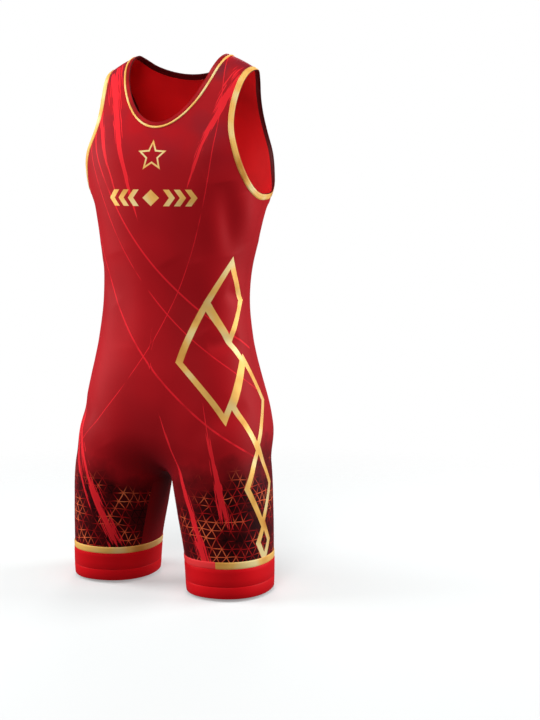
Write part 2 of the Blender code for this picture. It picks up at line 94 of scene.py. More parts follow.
BODY = table(
    "down half_width front back",
    (0.000, 0.168, 0.000, 0.000),
    (0.006, 0.168, -0.028, 0.018),
    (0.022, 0.168, -0.052, 0.034),
    (0.048, 0.167, -0.072, 0.051),
    (0.080, 0.165, -0.090, 0.072),
    (0.115, 0.164, -0.108, 0.091),
    (0.155, 0.165, -0.125, 0.104),
    (0.200, 0.155, -0.132, 0.109),
    (0.250, 0.141, -0.134, 0.103),
    (0.300, 0.1295, -0.132, 0.088),
    (0.350, 0.1215, -0.130, 0.070),
    (0.394, 0.1205, -0.130, 0.059),
    (0.460, 0.128, -0.136, 0.057),
    (0.520, 0.139, -0.146, 0.067),
    (0.580, 0.149, -0.150, 0.078),
    (0.640, 0.158, -0.148, 0.072),
    (0.700, 0.158, -0.145, 0.050),
    (0.863, 0.158, -0.145, 0.050),
)
BODY["middle"] = (BODY["front"] + BODY["back"]) / 2

LEG = table(
    "down across middle half_width half_depth",
    (0.500, 0.070, -0.040, 0.070, 0.095),
    (0.600, 0.0775, -0.050, 0.0735, 0.096),
    (0.670, 0.088, -0.055, 0.0785, 0.093),
    (0.740, 0.0975, -0.056, 0.0755, 0.086),
    (0.811, 0.107, -0.056, 0.070, 0.080),
    (0.863, 0.111, -0.056, 0.068, 0.0775),
)

GUSSET = table(
    "down front back",
    (0.655, -0.030, 0.034),
    (0.700, -0.040, 0.048),
    (0.811, -0.0435, 0.0570),
)
print("sections:", len(BODY["down"]), "of the torso,", len(LEG["down"]), "of a leg")

# %% [markdown]
# Between two sections every size follows a cubic curve. Straight pieces would leave a faint crease
# round the garment at each section.


# %% Curves through the sections
def spline(knots, values, where):
    """A smooth curve through a table's values, with its slopes taken from the rows around."""
    slopes = np.gradient(values, knots)
    where = np.clip(where, knots[0], knots[-1])
    row = np.clip(np.searchsorted(knots, where) - 1, 0, len(knots) - 2)
    span = knots[row + 1] - knots[row]
    t = (where - knots[row]) / span
    start = (2 * t**3 - 3 * t**2 + 1) * values[row] + (t**3 - 2 * t**2 + t) * span * slopes[row]
    end = (3 * t**2 - 2 * t**3) * values[row + 1] + (t**3 - t**2) * span * slopes[row + 1]
    return start + end


def at(sizes, column, down):
    return spline(sizes["down"], sizes[column], down)


def smooth_step(value, low, high):
    t = np.clip((value - low) / (high - low), 0, 1)
    return t * t * (3 - 2 * t)


def mix(first, second, share):
    return first + (second - first) * share


def superellipse(u, v, power):
    return (np.abs(u) ** power + np.abs(v) ** power) ** (1 / power)


print("waist half-width:", round(float(at(BODY, "half_width", 0.394)), 4))

# %% [markdown]
# The middle profile runs up the front, over the shoulders and down the back. A place on the cloth
# is named by its length along that profile, negative in front and positive behind, and by its turn
# from the middle towards the side. Only the wearer's left half is worked out, and the right half is
# its mirror image, apart from the folds and the stance.

# %% The middle profile
FRONT, BACK = -1, 1
LEFT, RIGHT = 1, -1
SAMPLES = 500


def lengths_along(line):
    """Length from the first point of a line to each of its points."""
    steps = np.linalg.norm(np.diff(line, axis=0), axis=1)
    return np.concatenate(([0], np.cumsum(steps)))


def middle_profile():
    """Down the middle of the front, over the shoulders and down the back, by its length."""
    down = np.concatenate((BODY["down"][::-1], BODY["down"][1:]))
    depth = np.concatenate((BODY["front"][::-1], BODY["back"][1:]))
    along = lengths_along(np.stack((down, depth), axis=-1))
    return along - along[len(BODY["down"]) - 1], down, depth


PROFILE_ALONG, PROFILE_DOWN, PROFILE_DEPTH = middle_profile()


def down_of(along):
    return spline(PROFILE_ALONG, PROFILE_DOWN, along)


def depth_of(along):
    return spline(PROFILE_ALONG, PROFILE_DEPTH, along)


def profile_end(face):
    """Where the middle profile ends, far down the front or the back."""
    return PROFILE_ALONG[0 if face == FRONT else -1]


def along_of(face, down):
    """The length down the middle profile of one face to a given depth."""
    ends = np.linspace(0, profile_end(face), SAMPLES)
    return np.interp(down, down_of(ends), ends)


print("profile length:", round(float(PROFILE_ALONG[-1] - PROFILE_ALONG[0]), 3))

# %% [markdown]
# Above the hips a section is a rounded box. Lower down the two legs and the closing seat blend
# into each other, which no single formula draws, so a field says how far any point is from the
# cloth, and halving finds the cloth along a ray.

# %% The field
TORSO_SQUARENESS = 2.4
LEG_SQUARENESS = 2.2
TORSO_RADIUS = 0.11
LEG_RADIUS = 0.075
BOWL_TOP_DOWN = 0.60
BOWL_HEIGHT = 0.076
LEG_FADE_DOWN = 0.66
BLEND = 0.028
CROTCH_SOFTNESS = 0.004
HALVINGS = 40


def field(x, y, down):
    """Below zero inside the filled-out form and above zero outside it, in metres."""
    middle = at(BODY, "middle", down)
    front = middle - depth_of(along_of(FRONT, down))
    back = depth_of(along_of(BACK, down)) - middle
    reach = np.where(y < middle, front, back)
    ring = superellipse(x / at(BODY, "half_width", down), (y - middle) / reach, TORSO_SQUARENESS)
    bowl = np.maximum(down - BOWL_TOP_DOWN, 0) / BOWL_HEIGHT
    torso = TORSO_RADIUS * (superellipse(ring, bowl, TORSO_SQUARENESS) - 1)

    across = np.sqrt(x * x + CROTCH_SOFTNESS**2) - at(LEG, "across", down)
    fore = y - at(LEG, "middle", down)
    ring = superellipse(
        across / at(LEG, "half_width", down), fore / at(LEG, "half_depth", down), LEG_SQUARENESS
    )
    leg = LEG_RADIUS * (ring - 1) + np.maximum(LEG_FADE_DOWN - down, 0) ** 2

    overlap = np.maximum(BLEND - np.abs(torso - leg), 0) / BLEND
    return np.minimum(torso, leg) - overlap**2 * BLEND / 4


def crossing(ray, way, low, high):
    """How far along a ray the cloth lies: way is 1 for rays out of the form and -1 for rays in."""
    for _ in range(HALVINGS):
        half = (low + high) / 2
        beyond = field(*ray(half)) * way > 0
        low, high = np.where(beyond, low, half), np.where(beyond, half, high)
    return (low + high) / 2


print("field in the middle of the waist:", round(float(field(0.0, 0.0, 0.394)), 4))

# %% [markdown]
# Every place on the cloth belongs to a section. Above the hips it is the torso's, at the legs it is
# a leg's, and over the hips it moves from the one to the other.

# %% The section at a place
HIP_TOP_DOWN = 0.42
HIP_END_DOWN = 0.665


def section(along):
    """Centre and half-sizes of the torso's section, which turns into the leg's over the hips."""
    down = down_of(along)
    hip = smooth_step(down, HIP_TOP_DOWN, HIP_END_DOWN)
    torso_middle = at(BODY, "middle", down)
    middle = mix(torso_middle, at(LEG, "middle", down), hip)
    out = at(LEG, "across", down) * hip
    half_width = mix(at(BODY, "half_width", down), at(LEG, "half_width", down), hip)
    face = np.where(along < 0, FRONT, BACK)
    half_depth = mix(depth_of(along) - torso_middle, face * at(LEG, "half_depth", down), hip)
    return out, middle, half_width, half_depth


print("a thigh's section is off the middle by", round(float(section(along_of(FRONT, 0.7))[0]), 4))

# %% [markdown]
# A point of the form is found from its place on the cloth. A ray leaves the middle of the section
# at the place's turn. Its length is that of a squared circle above the hips, and the field gives it
# below them. At the top the form falls away from the neck towards the outer edges of the straps.

# %% The form
NECK_HALF_WIDTH = 0.0775
STRAP_OUTER_X = 0.131
STRAP_FALL = 0.037
STRAP_FALL_POWER = 2.5
STRAP_FALL_END = 0.20
RAY_LEAST = 0.1
RAY_MOST = 2.2


def form(along, turn):
    """A point of the left half of the plain form, without its folds and its stance."""
    along, turn = np.broadcast_arrays(np.atleast_1d(along), turn)
    down = down_of(along)
    out, middle, half_width, half_depth = section(along)
    across, fore = half_width * np.sin(turn), half_depth * np.cos(turn)

    length = 1 / superellipse(np.sin(turn), np.cos(turn), TORSO_SQUARENESS)
    low = down > HIP_TOP_DOWN
    # A ray towards the other leg ends at the middle plane
    end = np.full(across.shape, RAY_MOST)
    np.divide(out, -across, out=end, where=-across * RAY_MOST > out)
    end = end[low]

    def ray(length):
        return out[low] + length * across[low], middle[low] + length * fore[low], down[low]

    length[low] = crossing(ray, 1, end * RAY_LEAST, end)
    x, y = out + length * across, middle + length * fore
    fall = STRAP_FALL * (np.abs(x) / STRAP_OUTER_X) ** STRAP_FALL_POWER
    at_neck = STRAP_FALL * (NECK_HALF_WIDTH / STRAP_OUTER_X) ** STRAP_FALL_POWER
    fade = 1 - smooth_step(down, 0, STRAP_FALL_END)
    return np.stack((x, y, -down - (fall - at_neck) * fade), axis=-1)


def aim(points):
    """Along and turn of points that already lie on the form."""
    x, y, down = points[..., 0], points[..., 1], -points[..., 2]
    front, back = along_of(FRONT, down), along_of(BACK, down)
    along = np.where(y < section(back)[1], front, back)
    out, middle, half_width, half_depth = section(along)
    return along, np.arctan2((x - out) / half_width, (y - middle) / half_depth)


print("side of the waist:", form(along_of(FRONT, 0.394), np.pi / 2).round(4).tolist())

# %% [markdown]
# ## Folds and stance
#
# Stretched knit lies smooth, with a few soft troughs where it is pulled: below the armholes, across
# the small of the back, under the seat and at the groin. Each is one row of a table, from one spot
# to another. Girth is in degrees from the middle of the front, and side 1 is the wearer's left.

# %% The folds
FULLNESS = table(
    "girth down radius height",
    (32, 0.165, 0.055, 0.004),
    (148, 0.140, 0.060, 0.004),
    (150, 0.590, 0.060, 0.007),
)
FOLDS = table(
    "side girth down end_girth end_down width height",
    (1, 44, 0.205, 62, 0.320, 0.018, -0.0055),
    (1, 62, 0.220, 80, 0.300, 0.019, 0.0026),
    (1, 40, 0.468, 72, 0.452, 0.012, -0.0045),
    (1, 12, 0.330, 40, 0.440, 0.024, -0.0035),
    (-1, 34, 0.320, 22, 0.470, 0.028, -0.0035),
    (1, 60, 0.375, 84, 0.400, 0.013, -0.0035),
    (1, 30, 0.590, 68, 0.560, 0.016, -0.0035),
    (-1, 34, 0.595, 70, 0.570, 0.016, -0.0035),
    (1, 20, 0.235, 34, 0.330, 0.022, -0.0030),
    (1, 55, 0.150, 30, 0.190, 0.022, -0.0030),
    (-1, 58, 0.225, 70, 0.300, 0.014, -0.0040),
    (-1, 60, 0.330, 35, 0.400, 0.017, -0.0025),
    (1, 112, 0.240, 120, 0.300, 0.014, -0.0040),
    (1, 143, 0.265, 140, 0.325, 0.014, -0.0035),
    (1, 128, 0.365, 142, 0.400, 0.013, -0.0040),
    (-1, 153, 0.255, 143, 0.315, 0.014, -0.0035),
    (-1, 136, 0.245, 124, 0.305, 0.014, -0.0040),
    (1, 180, 0.180, 180, 0.440, 0.030, -0.0050),
    (1, 192, 0.665, 140, 0.655, 0.017, -0.0040),
    (-1, 192, 0.665, 140, 0.655, 0.017, -0.0040),
    (1, 50, 0.545, 0, 0.625, 0.020, -0.0025),
    (-1, 50, 0.545, 0, 0.625, 0.020, -0.0025),
)
print("folds:", len(FOLDS["side"]), "deepest", FOLDS["height"].min())

# %% [markdown]
# Each fold runs in a few straight pieces over the form. Its depth falls off with the distance from
# that path, and towards both ends of it. The full places of the chest, the back and the seat are
# worked out in the same way, round a spot.

# %% Paths and relief
FOLD_PIECES = 4
FOLD_FADE = 0.7


def spot(girth, down):
    """A point of the form at a girth in degrees from the middle of the front."""
    in_front = np.asarray(girth) < 90
    along = np.where(in_front, along_of(FRONT, down), along_of(BACK, down))
    turn = np.radians(np.where(in_front, girth, 180 - girth))
    return form(along, turn)


def fold_paths():
    """Each fold's path over the form, as points in the garment's frame."""
    paths = []
    for row in range(len(FOLDS["side"])):
        share = np.linspace(0, 1, FOLD_PIECES + 1)
        girth = mix(FOLDS["girth"][row], FOLDS["end_girth"][row], share)
        down = mix(FOLDS["down"][row], FOLDS["end_down"][row], share)
        paths.append(spot(girth, down) * (FOLDS["side"][row], 1, 1))
    return paths


FOLD_PATHS = fold_paths()
FULL_SPOTS = spot(FULLNESS["girth"], FULLNESS["down"])


def relief(points):
    """How far the cloth stands out from the plain form: soft fullness, troughs and ridges."""
    amount = np.zeros(points.shape[:-1])
    for centre, radius, height in zip(FULL_SPOTS, FULLNESS["radius"], FULLNESS["height"]):
        for side in (LEFT, RIGHT):
            away = np.linalg.norm(points - centre * (side, 1, 1), axis=-1)
            amount += height * np.exp(-((away / radius) ** 2))
    for path, width, height in zip(FOLD_PATHS, FOLDS["width"], FOLDS["height"]):
        best, place = np.full(amount.shape, np.inf), np.zeros(amount.shape)
        for step, (start, end) in enumerate(pairwise(path)):
            run = end - start
            share = np.clip((points - start) @ run / (run @ run), 0, 1)
            away = np.linalg.norm(points - start - share[..., None] * run, axis=-1)
            place = np.where(away < best, (step + share) / FOLD_PIECES, place)
            best = np.minimum(away, best)
        amount += height * np.exp(-((best / width) ** 2)) * np.sin(np.pi * place) ** FOLD_FADE
    return amount


print("relief at the first fold:", relief(FOLD_PATHS[0]).round(4).tolist())

# %% [markdown]
# The garment stands with its left leg a little ahead of the right one. The legs are shifted last,
# when a point is otherwise finished, so that the form itself stays even.

# %% The stance of the legs
HEM_DOWN = 0.863
STEP_FORWARD = 0.022
STEP_BACK = 0.016
STEP_TOP_DOWN = 0.60
STEP_POWER = 1.5
STEP_SOFTNESS = 0.02


def stance(points):
    """The left leg stands a little forward and the right leg a little back."""
    left = (1 + np.tanh(points[..., 0] / STEP_SOFTNESS)) / 2
    reach = np.clip((-points[..., 2] - STEP_TOP_DOWN) / (HEM_DOWN - STEP_TOP_DOWN), 0, 1)
    moved = points.copy()
    moved[..., 1] += mix(STEP_BACK, -STEP_FORWARD, left) * reach**STEP_POWER
    return moved


print("the hems stand", round(STEP_FORWARD + STEP_BACK, 3), "apart, fore and aft")

# %% [markdown]
# Folds, tapes and stitches stand out from the form, so each of its points needs the direction that
# is outwards there. It is worked out from points a very small step away.

# %% Outward directions
NUDGE = 0.0002
TURN_NUDGE = 0.0016


def unit(vectors):
    return vectors / np.linalg.norm(vectors, axis=-1, keepdims=True)


def form_normal(along, turn):
    """Outward direction of the form's surface."""
    over = form(along + NUDGE, turn) - form(along - NUDGE, turn)
    around = form(along, turn + TURN_NUDGE) - form(along, turn - TURN_NUDGE)
    return unit(np.cross(around, over))


def field_normal(points):
    """Outward direction from the field itself, for the points of the crotch strip."""
    x, y, down = points[..., 0], points[..., 1], -points[..., 2]
    slope = [
        field(x + NUDGE, y, down) - field(x - NUDGE, y, down),
        field(x, y + NUDGE, down) - field(x, y - NUDGE, down),
        field(x, y, down - NUDGE) - field(x, y, down + NUDGE),
    ]
    return unit(np.stack(slope, axis=-1))


def dressed(points, normals, side, rise):
    """Points of one side of the garment, with its folds and its stance, raised off the form."""
    points, normals = points * (side, 1, 1), normals * (side, 1, 1)
    return stance(points + normals * (relief(points) + rise)[..., None])


print("outwards at the side:", form_normal(np.zeros(1), np.pi / 2).round(3).tolist())

# %% [markdown]
# ## The edges of the pieces
#
# A singlet's pieces are cut along a few curves: the scoop of the neck, the armholes, the side
# seams and the seams of the crotch strip. Each is worked out on the form, so that the piece on
# either side of a seam ends on the same line.

# %% The neck and the armholes
NECK_DOWN = {FRONT: 0.115, BACK: 0.038}
NECK_SQUARENESS = 2.05
ARMHOLE_DOWN = 0.225
ARMHOLE_TURN = {FRONT: np.radians(36), BACK: np.radians(35.5)}
ARMHOLE_SQUARENESS = {FRONT: 2.5, BACK: 2.8}
ARMHOLE_NARROWING = 1.6
ARMHOLE_INSET_TURN = 6.5
FINE = 5
NECK_STEPS = {FRONT: 13 * FINE, BACK: 9 * FINE}
ARMHOLE_STEPS = {FRONT: 17 * FINE, BACK: 17 * FINE}


def turn_at(along, x):
    """The turn at which the torso's section has a given half-width."""
    share = (x / at(BODY, "half_width", down_of(along))) ** TORSO_SQUARENESS
    return np.arctan((share / (1 - share)) ** (1 / TORSO_SQUARENESS))


def neck_edge(face, share, inset):
    """Along and turn on the neck's curve: share 0 is the shoulder, 1 the middle."""
    bottom = np.abs(along_of(face, NECK_DOWN[face])) + inset
    angle = share * np.pi / 2
    size = 1 / superellipse(np.sin(angle), np.cos(angle), NECK_SQUARENESS)
    along = face * bottom * size * np.sin(angle)
    x = (NECK_HALF_WIDTH + inset) * size * np.cos(angle)
    return along, turn_at(along, np.maximum(x, 0))


def armhole_edge(face, share, inset):
    """Along and turn on the armhole's curve: share 0 is the shoulder, 1 the side seam."""
    bottom = np.abs(along_of(face, ARMHOLE_DOWN)) + inset
    angle = share * np.pi / 2
    size = 1 / superellipse(np.sin(angle), np.cos(angle), ARMHOLE_SQUARENESS[face])
    along = face * bottom * size * np.sin(angle)
    top = turn_at(np.zeros(1), STRAP_OUTER_X)
    narrow = mix(top, ARMHOLE_TURN[face], np.sin(np.clip(ARMHOLE_NARROWING * share, 0, 1) * np.pi / 2))
    narrow = narrow - inset * ARMHOLE_INSET_TURN
    turn = np.pi / 2 - (np.pi / 2 - narrow) * size * np.cos(angle)
    return along, turn


print("neck points:", form(*neck_edge(FRONT, np.zeros(1), 0)).round(4).tolist())

# %% [markdown]
# Even steps in a curve's own variable lie closer together on some parts of it than on others. So a
# curve is first measured at many points, and then split into equal lengths.


# %% Even steps along an edge
def even(curve, steps):
    """Values from 0 to 1 that split a curve into equal lengths."""
    dense = np.linspace(0, 1, SAMPLES)
    length = lengths_along(curve(dense))
    return np.interp(np.linspace(0, length[-1], steps + 1), length, dense)


@cache
def edge_shares(edge, face, steps):
    """Shares that split an edge's finished line into equal lengths, worked out once for each edge."""
    return even(lambda share: form(*edge(face, share, 0)), steps)


print("first step of the armhole:", edge_shares(armhole_edge, FRONT, ARMHOLE_STEPS[FRONT])[1].round(4))

# %% [markdown]
# The crotch strip, which a cutter calls a gusset, lies where no section of the torso or of a leg
# reaches. Its points are found by other rays: upwards between the legs to the crotch, sideways to
# the inner legs, and a quarter circle of rays in the corner between the two.

# %% Up to the crotch and out to the legs
CUFF_TOP_DOWN = 0.815


def crotch_top(y):
    """Depth of the crotch at the middle plane, looking up at it from between the legs."""

    def ray(length):
        return 0 * y, y, CUFF_TOP_DOWN - length

    return CUFF_TOP_DOWN - crossing(ray, -1, 0 * y, 0 * y + CUFF_TOP_DOWN - BOWL_TOP_DOWN)


def inner_leg(y, down):
    """How far the inner side of the leg stands from the middle plane."""

    def ray(length):
        return length, y, down

    return crossing(ray, -1, 0 * y, at(LEG, "across", down))


print("the crotch is down at", crotch_top(np.zeros(1)).round(4).tolist())

# %% [markdown]
# The strip's points are counted in steps: first round the arch of the crotch, and then down the
# inside of the leg. The strip ends a hair above the gold stripe.

# %% The crotch strip
STRIPE_WIDTH = 0.0105
SEAM_GAP = 0.0003
ARCH_DROP = 0.03
ARCH_REACH = 0.08
ARCH_LEAST_RADIUS = 0.004
ARCH_MOST_RADIUS = 0.02
ARCH_STEPS = 4 * FINE
LEG_STEPS = 10 * FINE
GUSSET_COLUMNS = 6 * FINE


def gusset_form(fore, step):
    """Points of the strip over the crotch: fore 0 is its front edge, 1 its back edge."""
    fore, step = np.broadcast_arrays(fore, step)

    def edge_y(down):
        return at(LEG, "middle", down) + mix(at(GUSSET, "front", down), at(GUSSET, "back", down), fore)

    y = edge_y(np.full(fore.shape, GUSSET["down"][0]))
    top = crotch_top(y)
    axis = top + np.clip(inner_leg(y, top + ARCH_DROP), ARCH_LEAST_RADIUS, ARCH_MOST_RADIUS)
    arch = np.clip(step / ARCH_STEPS, 0, 1) * np.pi / 2

    def ray(length):
        return length * np.sin(arch), y, axis - length * np.cos(arch)

    radius = crossing(ray, -1, 0 * y, 0 * y + ARCH_REACH)
    x, down = radius * np.sin(arch), axis - radius * np.cos(arch)

    leg = np.clip((step - ARCH_STEPS) / LEG_STEPS, 0, 1)
    low_down = mix(axis, CUFF_TOP_DOWN - STRIPE_WIDTH - SEAM_GAP, leg)
    low_y = edge_y(low_down)
    on_leg = step > ARCH_STEPS
    y = np.where(on_leg, low_y, y)
    down = np.where(on_leg, low_down, down)
    x = np.where(on_leg, inner_leg(low_y, low_down), np.where(step == 0, 0, x))
    return np.stack((x, y, -down), axis=-1)


print("crotch at", gusset_form(np.array((0.0, 1.0)), 0.0).round(4).tolist())

# %% [markdown]
# A panel is laid in rows. Each row runs from the panel's inner edge (the neck, the middle and then
# the crotch strip's seam) to its outer edge (the armhole and then the side seam).

# %% The middle line of a panel
NECK_BINDING_WIDTH = 0.0065
PIPING_WIDTH = 0.0027
ARMHOLE_BINDING_WIDTH = 0.009
SEAT_PIVOT_DOWN = 0.57
SEAT_REACH = 0.25
CROTCH_STEP = 44 * FINE
STRIP_EDGE = {FRONT: 0.0, BACK: 1.0}


def middle_line(face, inset):
    """Points of the front's or back's middle, by share of the way from the neck to the strip."""
    top = along_of(face, NECK_DOWN[face]) + face * inset
    upper = np.linspace(top, along_of(face, HIP_TOP_DOWN), SAMPLES)
    end = gusset_form(STRIP_EDGE[face], np.zeros(1))[0]
    pivot_y = at(LEG, "middle", BOWL_TOP_DOWN)
    first = np.arctan2(HIP_TOP_DOWN - SEAT_PIVOT_DOWN, np.abs(depth_of(upper[-1]) - pivot_y))
    last = np.arctan2(-end[2] - SEAT_PIVOT_DOWN, np.abs(end[1] - pivot_y))
    angle = np.linspace(first, last, SAMPLES)

    def ray(length):
        y = pivot_y + face * length * np.cos(angle)
        return 0 * angle, y, SEAT_PIVOT_DOWN + length * np.sin(angle)

    _, y, down = ray(crossing(ray, 1, 0 * angle, 0 * angle + SEAT_REACH))
    y = np.concatenate((depth_of(upper), y[1:]))
    down = np.concatenate((down_of(upper), down[1:]))
    return lambda share: np.stack(
        [np.interp(share * (len(y) - 1), np.arange(len(y)), values) for values in (0 * y, y, -down)],
        axis=-1,
    )


print("the middle of the front starts at", middle_line(FRONT, 0.0)(np.zeros(1)).round(4).tolist())

# %% [markdown]
# Along a row the turn goes in even steps, and most of the change in depth comes early, so that the
# row arrives level at its outer edge. Below the armhole the rows dip a little, so that they spread
# out where its edge runs level.

# %% The rows of a panel
COLUMNS = 11 * FINE
SAG = 0.007
SAG_ROWS = 8
SAG_POWER = 6
ROW_EASE = 1.7


def panel_ends(face):
    """Along and turn of both ends of each row of the front's or back's left half."""
    inset = NECK_BINDING_WIDTH + PIPING_WIDTH + 2 * SEAM_GAP
    neck = neck_edge(face, edge_shares(neck_edge, face, NECK_STEPS[face]), inset)
    line = middle_line(face, inset)
    steps = CROTCH_STEP - NECK_STEPS[face]
    middle = aim(line(even(line, steps)[1:]))
    seam_steps = np.arange(1.0, ARCH_STEPS + LEG_STEPS + 1)
    seam = aim(gusset_form(STRIP_EDGE[face], seam_steps))
    inner = [np.concatenate(pieces) for pieces in zip(neck, middle, seam)]

    inset = ARMHOLE_BINDING_WIDTH + SEAM_GAP
    armhole = armhole_edge(face, edge_shares(armhole_edge, face, ARMHOLE_STEPS[face]), inset)
    top = down_of(armhole[0][-1:])[0]
    bottom = CUFF_TOP_DOWN - STRIPE_WIDTH - SEAM_GAP
    steps = CROTCH_STEP + ARCH_STEPS + LEG_STEPS - ARMHOLE_STEPS[face]
    side_down = np.linspace(top, bottom, steps + 1)[1:]
    side = along_of(face, side_down), np.full(steps, np.pi / 2)
    outer = [np.concatenate(pieces) for pieces in zip(armhole, side)]
    return inner, outer


def armhole_sag(face, share):
    """How far each point of a panel's rows dips below the armhole."""
    row = (np.arange(CROTCH_STEP + ARCH_STEPS + LEG_STEPS + 1) - ARMHOLE_STEPS[face]) / FINE
    depth = np.where(row > 0, np.clip(1 - row / SAG_ROWS, 0, 1), 0.5 ** np.abs(row)) * SAG
    place = share**SAG_POWER * (1 - share)
    return depth[:, None] * place / place.max()


def panel_rows(face):
    """Along and turn of every point of the left half of the front or the back."""
    inner, outer = panel_ends(face)
    share = np.linspace(0, 1, COLUMNS + 1)
    ease = 1 - (1 - share) ** ROW_EASE
    along = mix(inner[0][:, None], outer[0][:, None], ease) + face * armhole_sag(face, share)
    return along, mix(inner[1][:, None], outer[1][:, None], share)


print("rows and columns of half a panel:", panel_rows(FRONT)[0].shape)

# %% [markdown]
# ## Laying cloth on the form
#
# Each piece starts as a flat primitive grid, as cloth starts flat on the cutting table. The grid's
# points are then moved onto the form, row by row. A cloth simulation could do this too, but the
# garment is drawn tight, so its place is known. Two halves are joined and welded at the middle,
# and a Solidify modifier gives the cloth its thickness. Two UV maps go with the cloth: one in
# metres from the middle line, for the knit and the print, and one in metres from the side seam.


# %% Lay a grid on the form
def only(*pieces):
    """Selects these objects and nothing else, with the first one active."""
    bpy.ops.object.select_all(action="DESELECT")
    for piece in pieces:
        piece.select_set(True)
    bpy.context.view_layer.objects.active = pieces[0]


def cloth_grid(name, points, normals, maps):
    """A primitive grid whose points are moved onto the form, facing outwards."""
    across = np.cross(points[0, 1] - points[0, 0], points[1, 0] - points[0, 0])
    if across @ normals[0, 0] < 0:
        points = points[:, ::-1]
        maps = {key: flat[:, ::-1] for key, flat in maps.items()}
    rows, columns = points.shape[:2]
    bpy.ops.object.select_all(action="DESELECT")
    bpy.ops.mesh.primitive_grid_add(x_subdivisions=columns - 1, y_subdivisions=rows - 1, size=1)
    piece = bpy.context.object
    piece.name = piece.data.name = name
    mesh = piece.data
    mesh.vertices.foreach_set("co", points.reshape(-1).astype(np.float32))
    corners = np.empty(len(mesh.loops), dtype=np.int32)
    mesh.loops.foreach_get("vertex_index", corners)
    mesh.uv_layers.remove(mesh.uv_layers[0])
    for key, flat in maps.items():
        layer = mesh.uv_layers.new(name=key)
        layer.data.foreach_set("uv", flat.reshape(-1, 2)[corners].reshape(-1).astype(np.float32))
    mesh.update()
    return piece


def set_on_middle(points, normals, place):
    """Brings a line of points and its normals exactly into the middle plane, where halves meet."""
    points[place][..., 0] = 0
    normals[place][..., 0] = 0


print("grids ready")

# %% [markdown]
# The next helpers do a machinist's work: they sew halves together, give the cloth its thickness
# and its two faces, and smooth what should look soft.

# %% Sew, thicken and finish
WELD = 0.00002
SMOOTH_ANGLE = np.radians(50)


def sewn(name, pieces):
    """Joins pieces into one and welds the points that they share."""
    only(*pieces)
    if len(pieces) > 1:
        bpy.ops.object.join()
    piece = bpy.context.object
    piece.name = piece.data.name = name
    bpy.ops.object.mode_set(mode="EDIT")
    bpy.ops.mesh.select_all(action="SELECT")
    bpy.ops.mesh.remove_doubles(threshold=WELD)
    bpy.ops.object.mode_set(mode="OBJECT")
    return piece


def thicken(piece, thickness):
    """Gives a single layer of cloth its wall, inwards, with the second material on its inside."""
    only(piece)
    modifier = piece.modifiers.new("wall", "SOLIDIFY")
    modifier.thickness = thickness
    modifier.offset = -1
    modifier.material_offset = 1
    modifier.material_offset_rim = 1
    bpy.ops.object.modifier_apply(modifier="wall")


def smooth(piece):
    only(piece)
    bpy.ops.object.shade_smooth_by_angle(angle=SMOOTH_ANGLE)


def finished(piece, *finishes):
    """Gives a piece its finish, and a second one for its inside where it has a wall."""
    piece.data.materials.clear()
    for finish in finishes:
        piece.data.materials.append(finish)
    return piece


def cloth_area(piece):
    """Half the surface of a closed piece, which is the area of its cloth."""
    return sum(face.area for face in piece.data.polygons) / 2


print("a weld closes gaps up to", WELD, "m")

# %% [markdown]
# ## Inks
#
# The print and the knit are drawn by shader nodes from the UV maps, so no picture is needed and
# the lines stay sharp at any size. Such a drawing is mostly arithmetic. Here an ink stands for what
# a node gives, and each plus, minus or times that is written with an ink adds a Math node.

# %% Inks and arithmetic
class Ink:
    """What a shader node gives for every point of the cloth: a number, a place or a colour."""

    def __init__(self, socket):
        self.socket = socket
        self.tree = socket.id_data

    def maths(self, operation, *others):
        return add(self.tree, "Math", self, *others, operation=operation)

    def __add__(self, other):
        return self.maths("ADD", other)

    def __sub__(self, other):
        return self.maths("SUBTRACT", other)

    def __mul__(self, other):
        return self.maths("MULTIPLY", other)

    def __abs__(self):
        return self.maths("ABSOLUTE")


def feed(socket, value):
    """Links an ink to a socket, or sets the socket to a number or a colour."""
    if isinstance(value, Ink):
        value.tree.links.new(value.socket, socket)
    elif value is not None:
        socket.default_value = (*value, 1) if socket.type == "RGBA" else value


def add(tree, kind, *inputs, out=0, **settings):
    """One shader node: settings by name, then its inputs in order. None leaves an input as it is."""
    made = tree.nodes.new("ShaderNode" + kind)
    for name, value in settings.items():
        setattr(made, name, value)
    for socket, value in zip(made.inputs, inputs):
        feed(socket, value)
    return Ink(made.outputs[out])


print("arithmetic with inks ready")

# %% [markdown]
# Most finishes need the same few nodes: the place of a point, soft noise, a ramp between two
# values, and one colour laid over another.


# %% Places, noise and colours
def on_object(tree):
    """The place of a point in the garment's frame."""
    return add(tree, "TexCoord", out=3)


def on_map(tree, name):
    """The place of a point on one of the cloth's UV maps."""
    return add(tree, "UVMap", uv_map=name)


def parts_of(place):
    """The two coordinates of a place."""
    split = place.tree.nodes.new("ShaderNodeSeparateXYZ")
    feed(split.inputs[0], place)
    return Ink(split.outputs[0]), Ink(split.outputs[1])


def ramp(value, low, high, start=0.0, end=1.0):
    """From start to end while the value goes from low to high."""
    return add(value.tree, "MapRange", value, low, high, start, end)


def noise(place, scale, detail=2.0):
    """Soft noise around one half, with this many patches to a metre."""
    return add(place.tree, "TexNoise", place, None, scale, detail)


def patches(place, scale, low, high, most=1.0):
    """Soft patches, up to a share, which come in where the noise goes from low to high."""
    return ramp(noise(place, scale), low, high, 0.0, most)


def paint(share, under, over):
    """Lays one colour over another by a share. A Mix node keeps its colours in its last inputs."""
    unused = [None] * 5
    return add(share.tree, "Mix", share, *unused, under, over, out=2, data_type="RGBA")


def new_finish(name):
    """A new material with only its shader in it."""
    material = bpy.data.materials.new(name)
    material.use_nodes = True
    tree = material.node_tree
    return material, tree, tree.nodes["Principled BSDF"]


print("places, noise and colours ready")

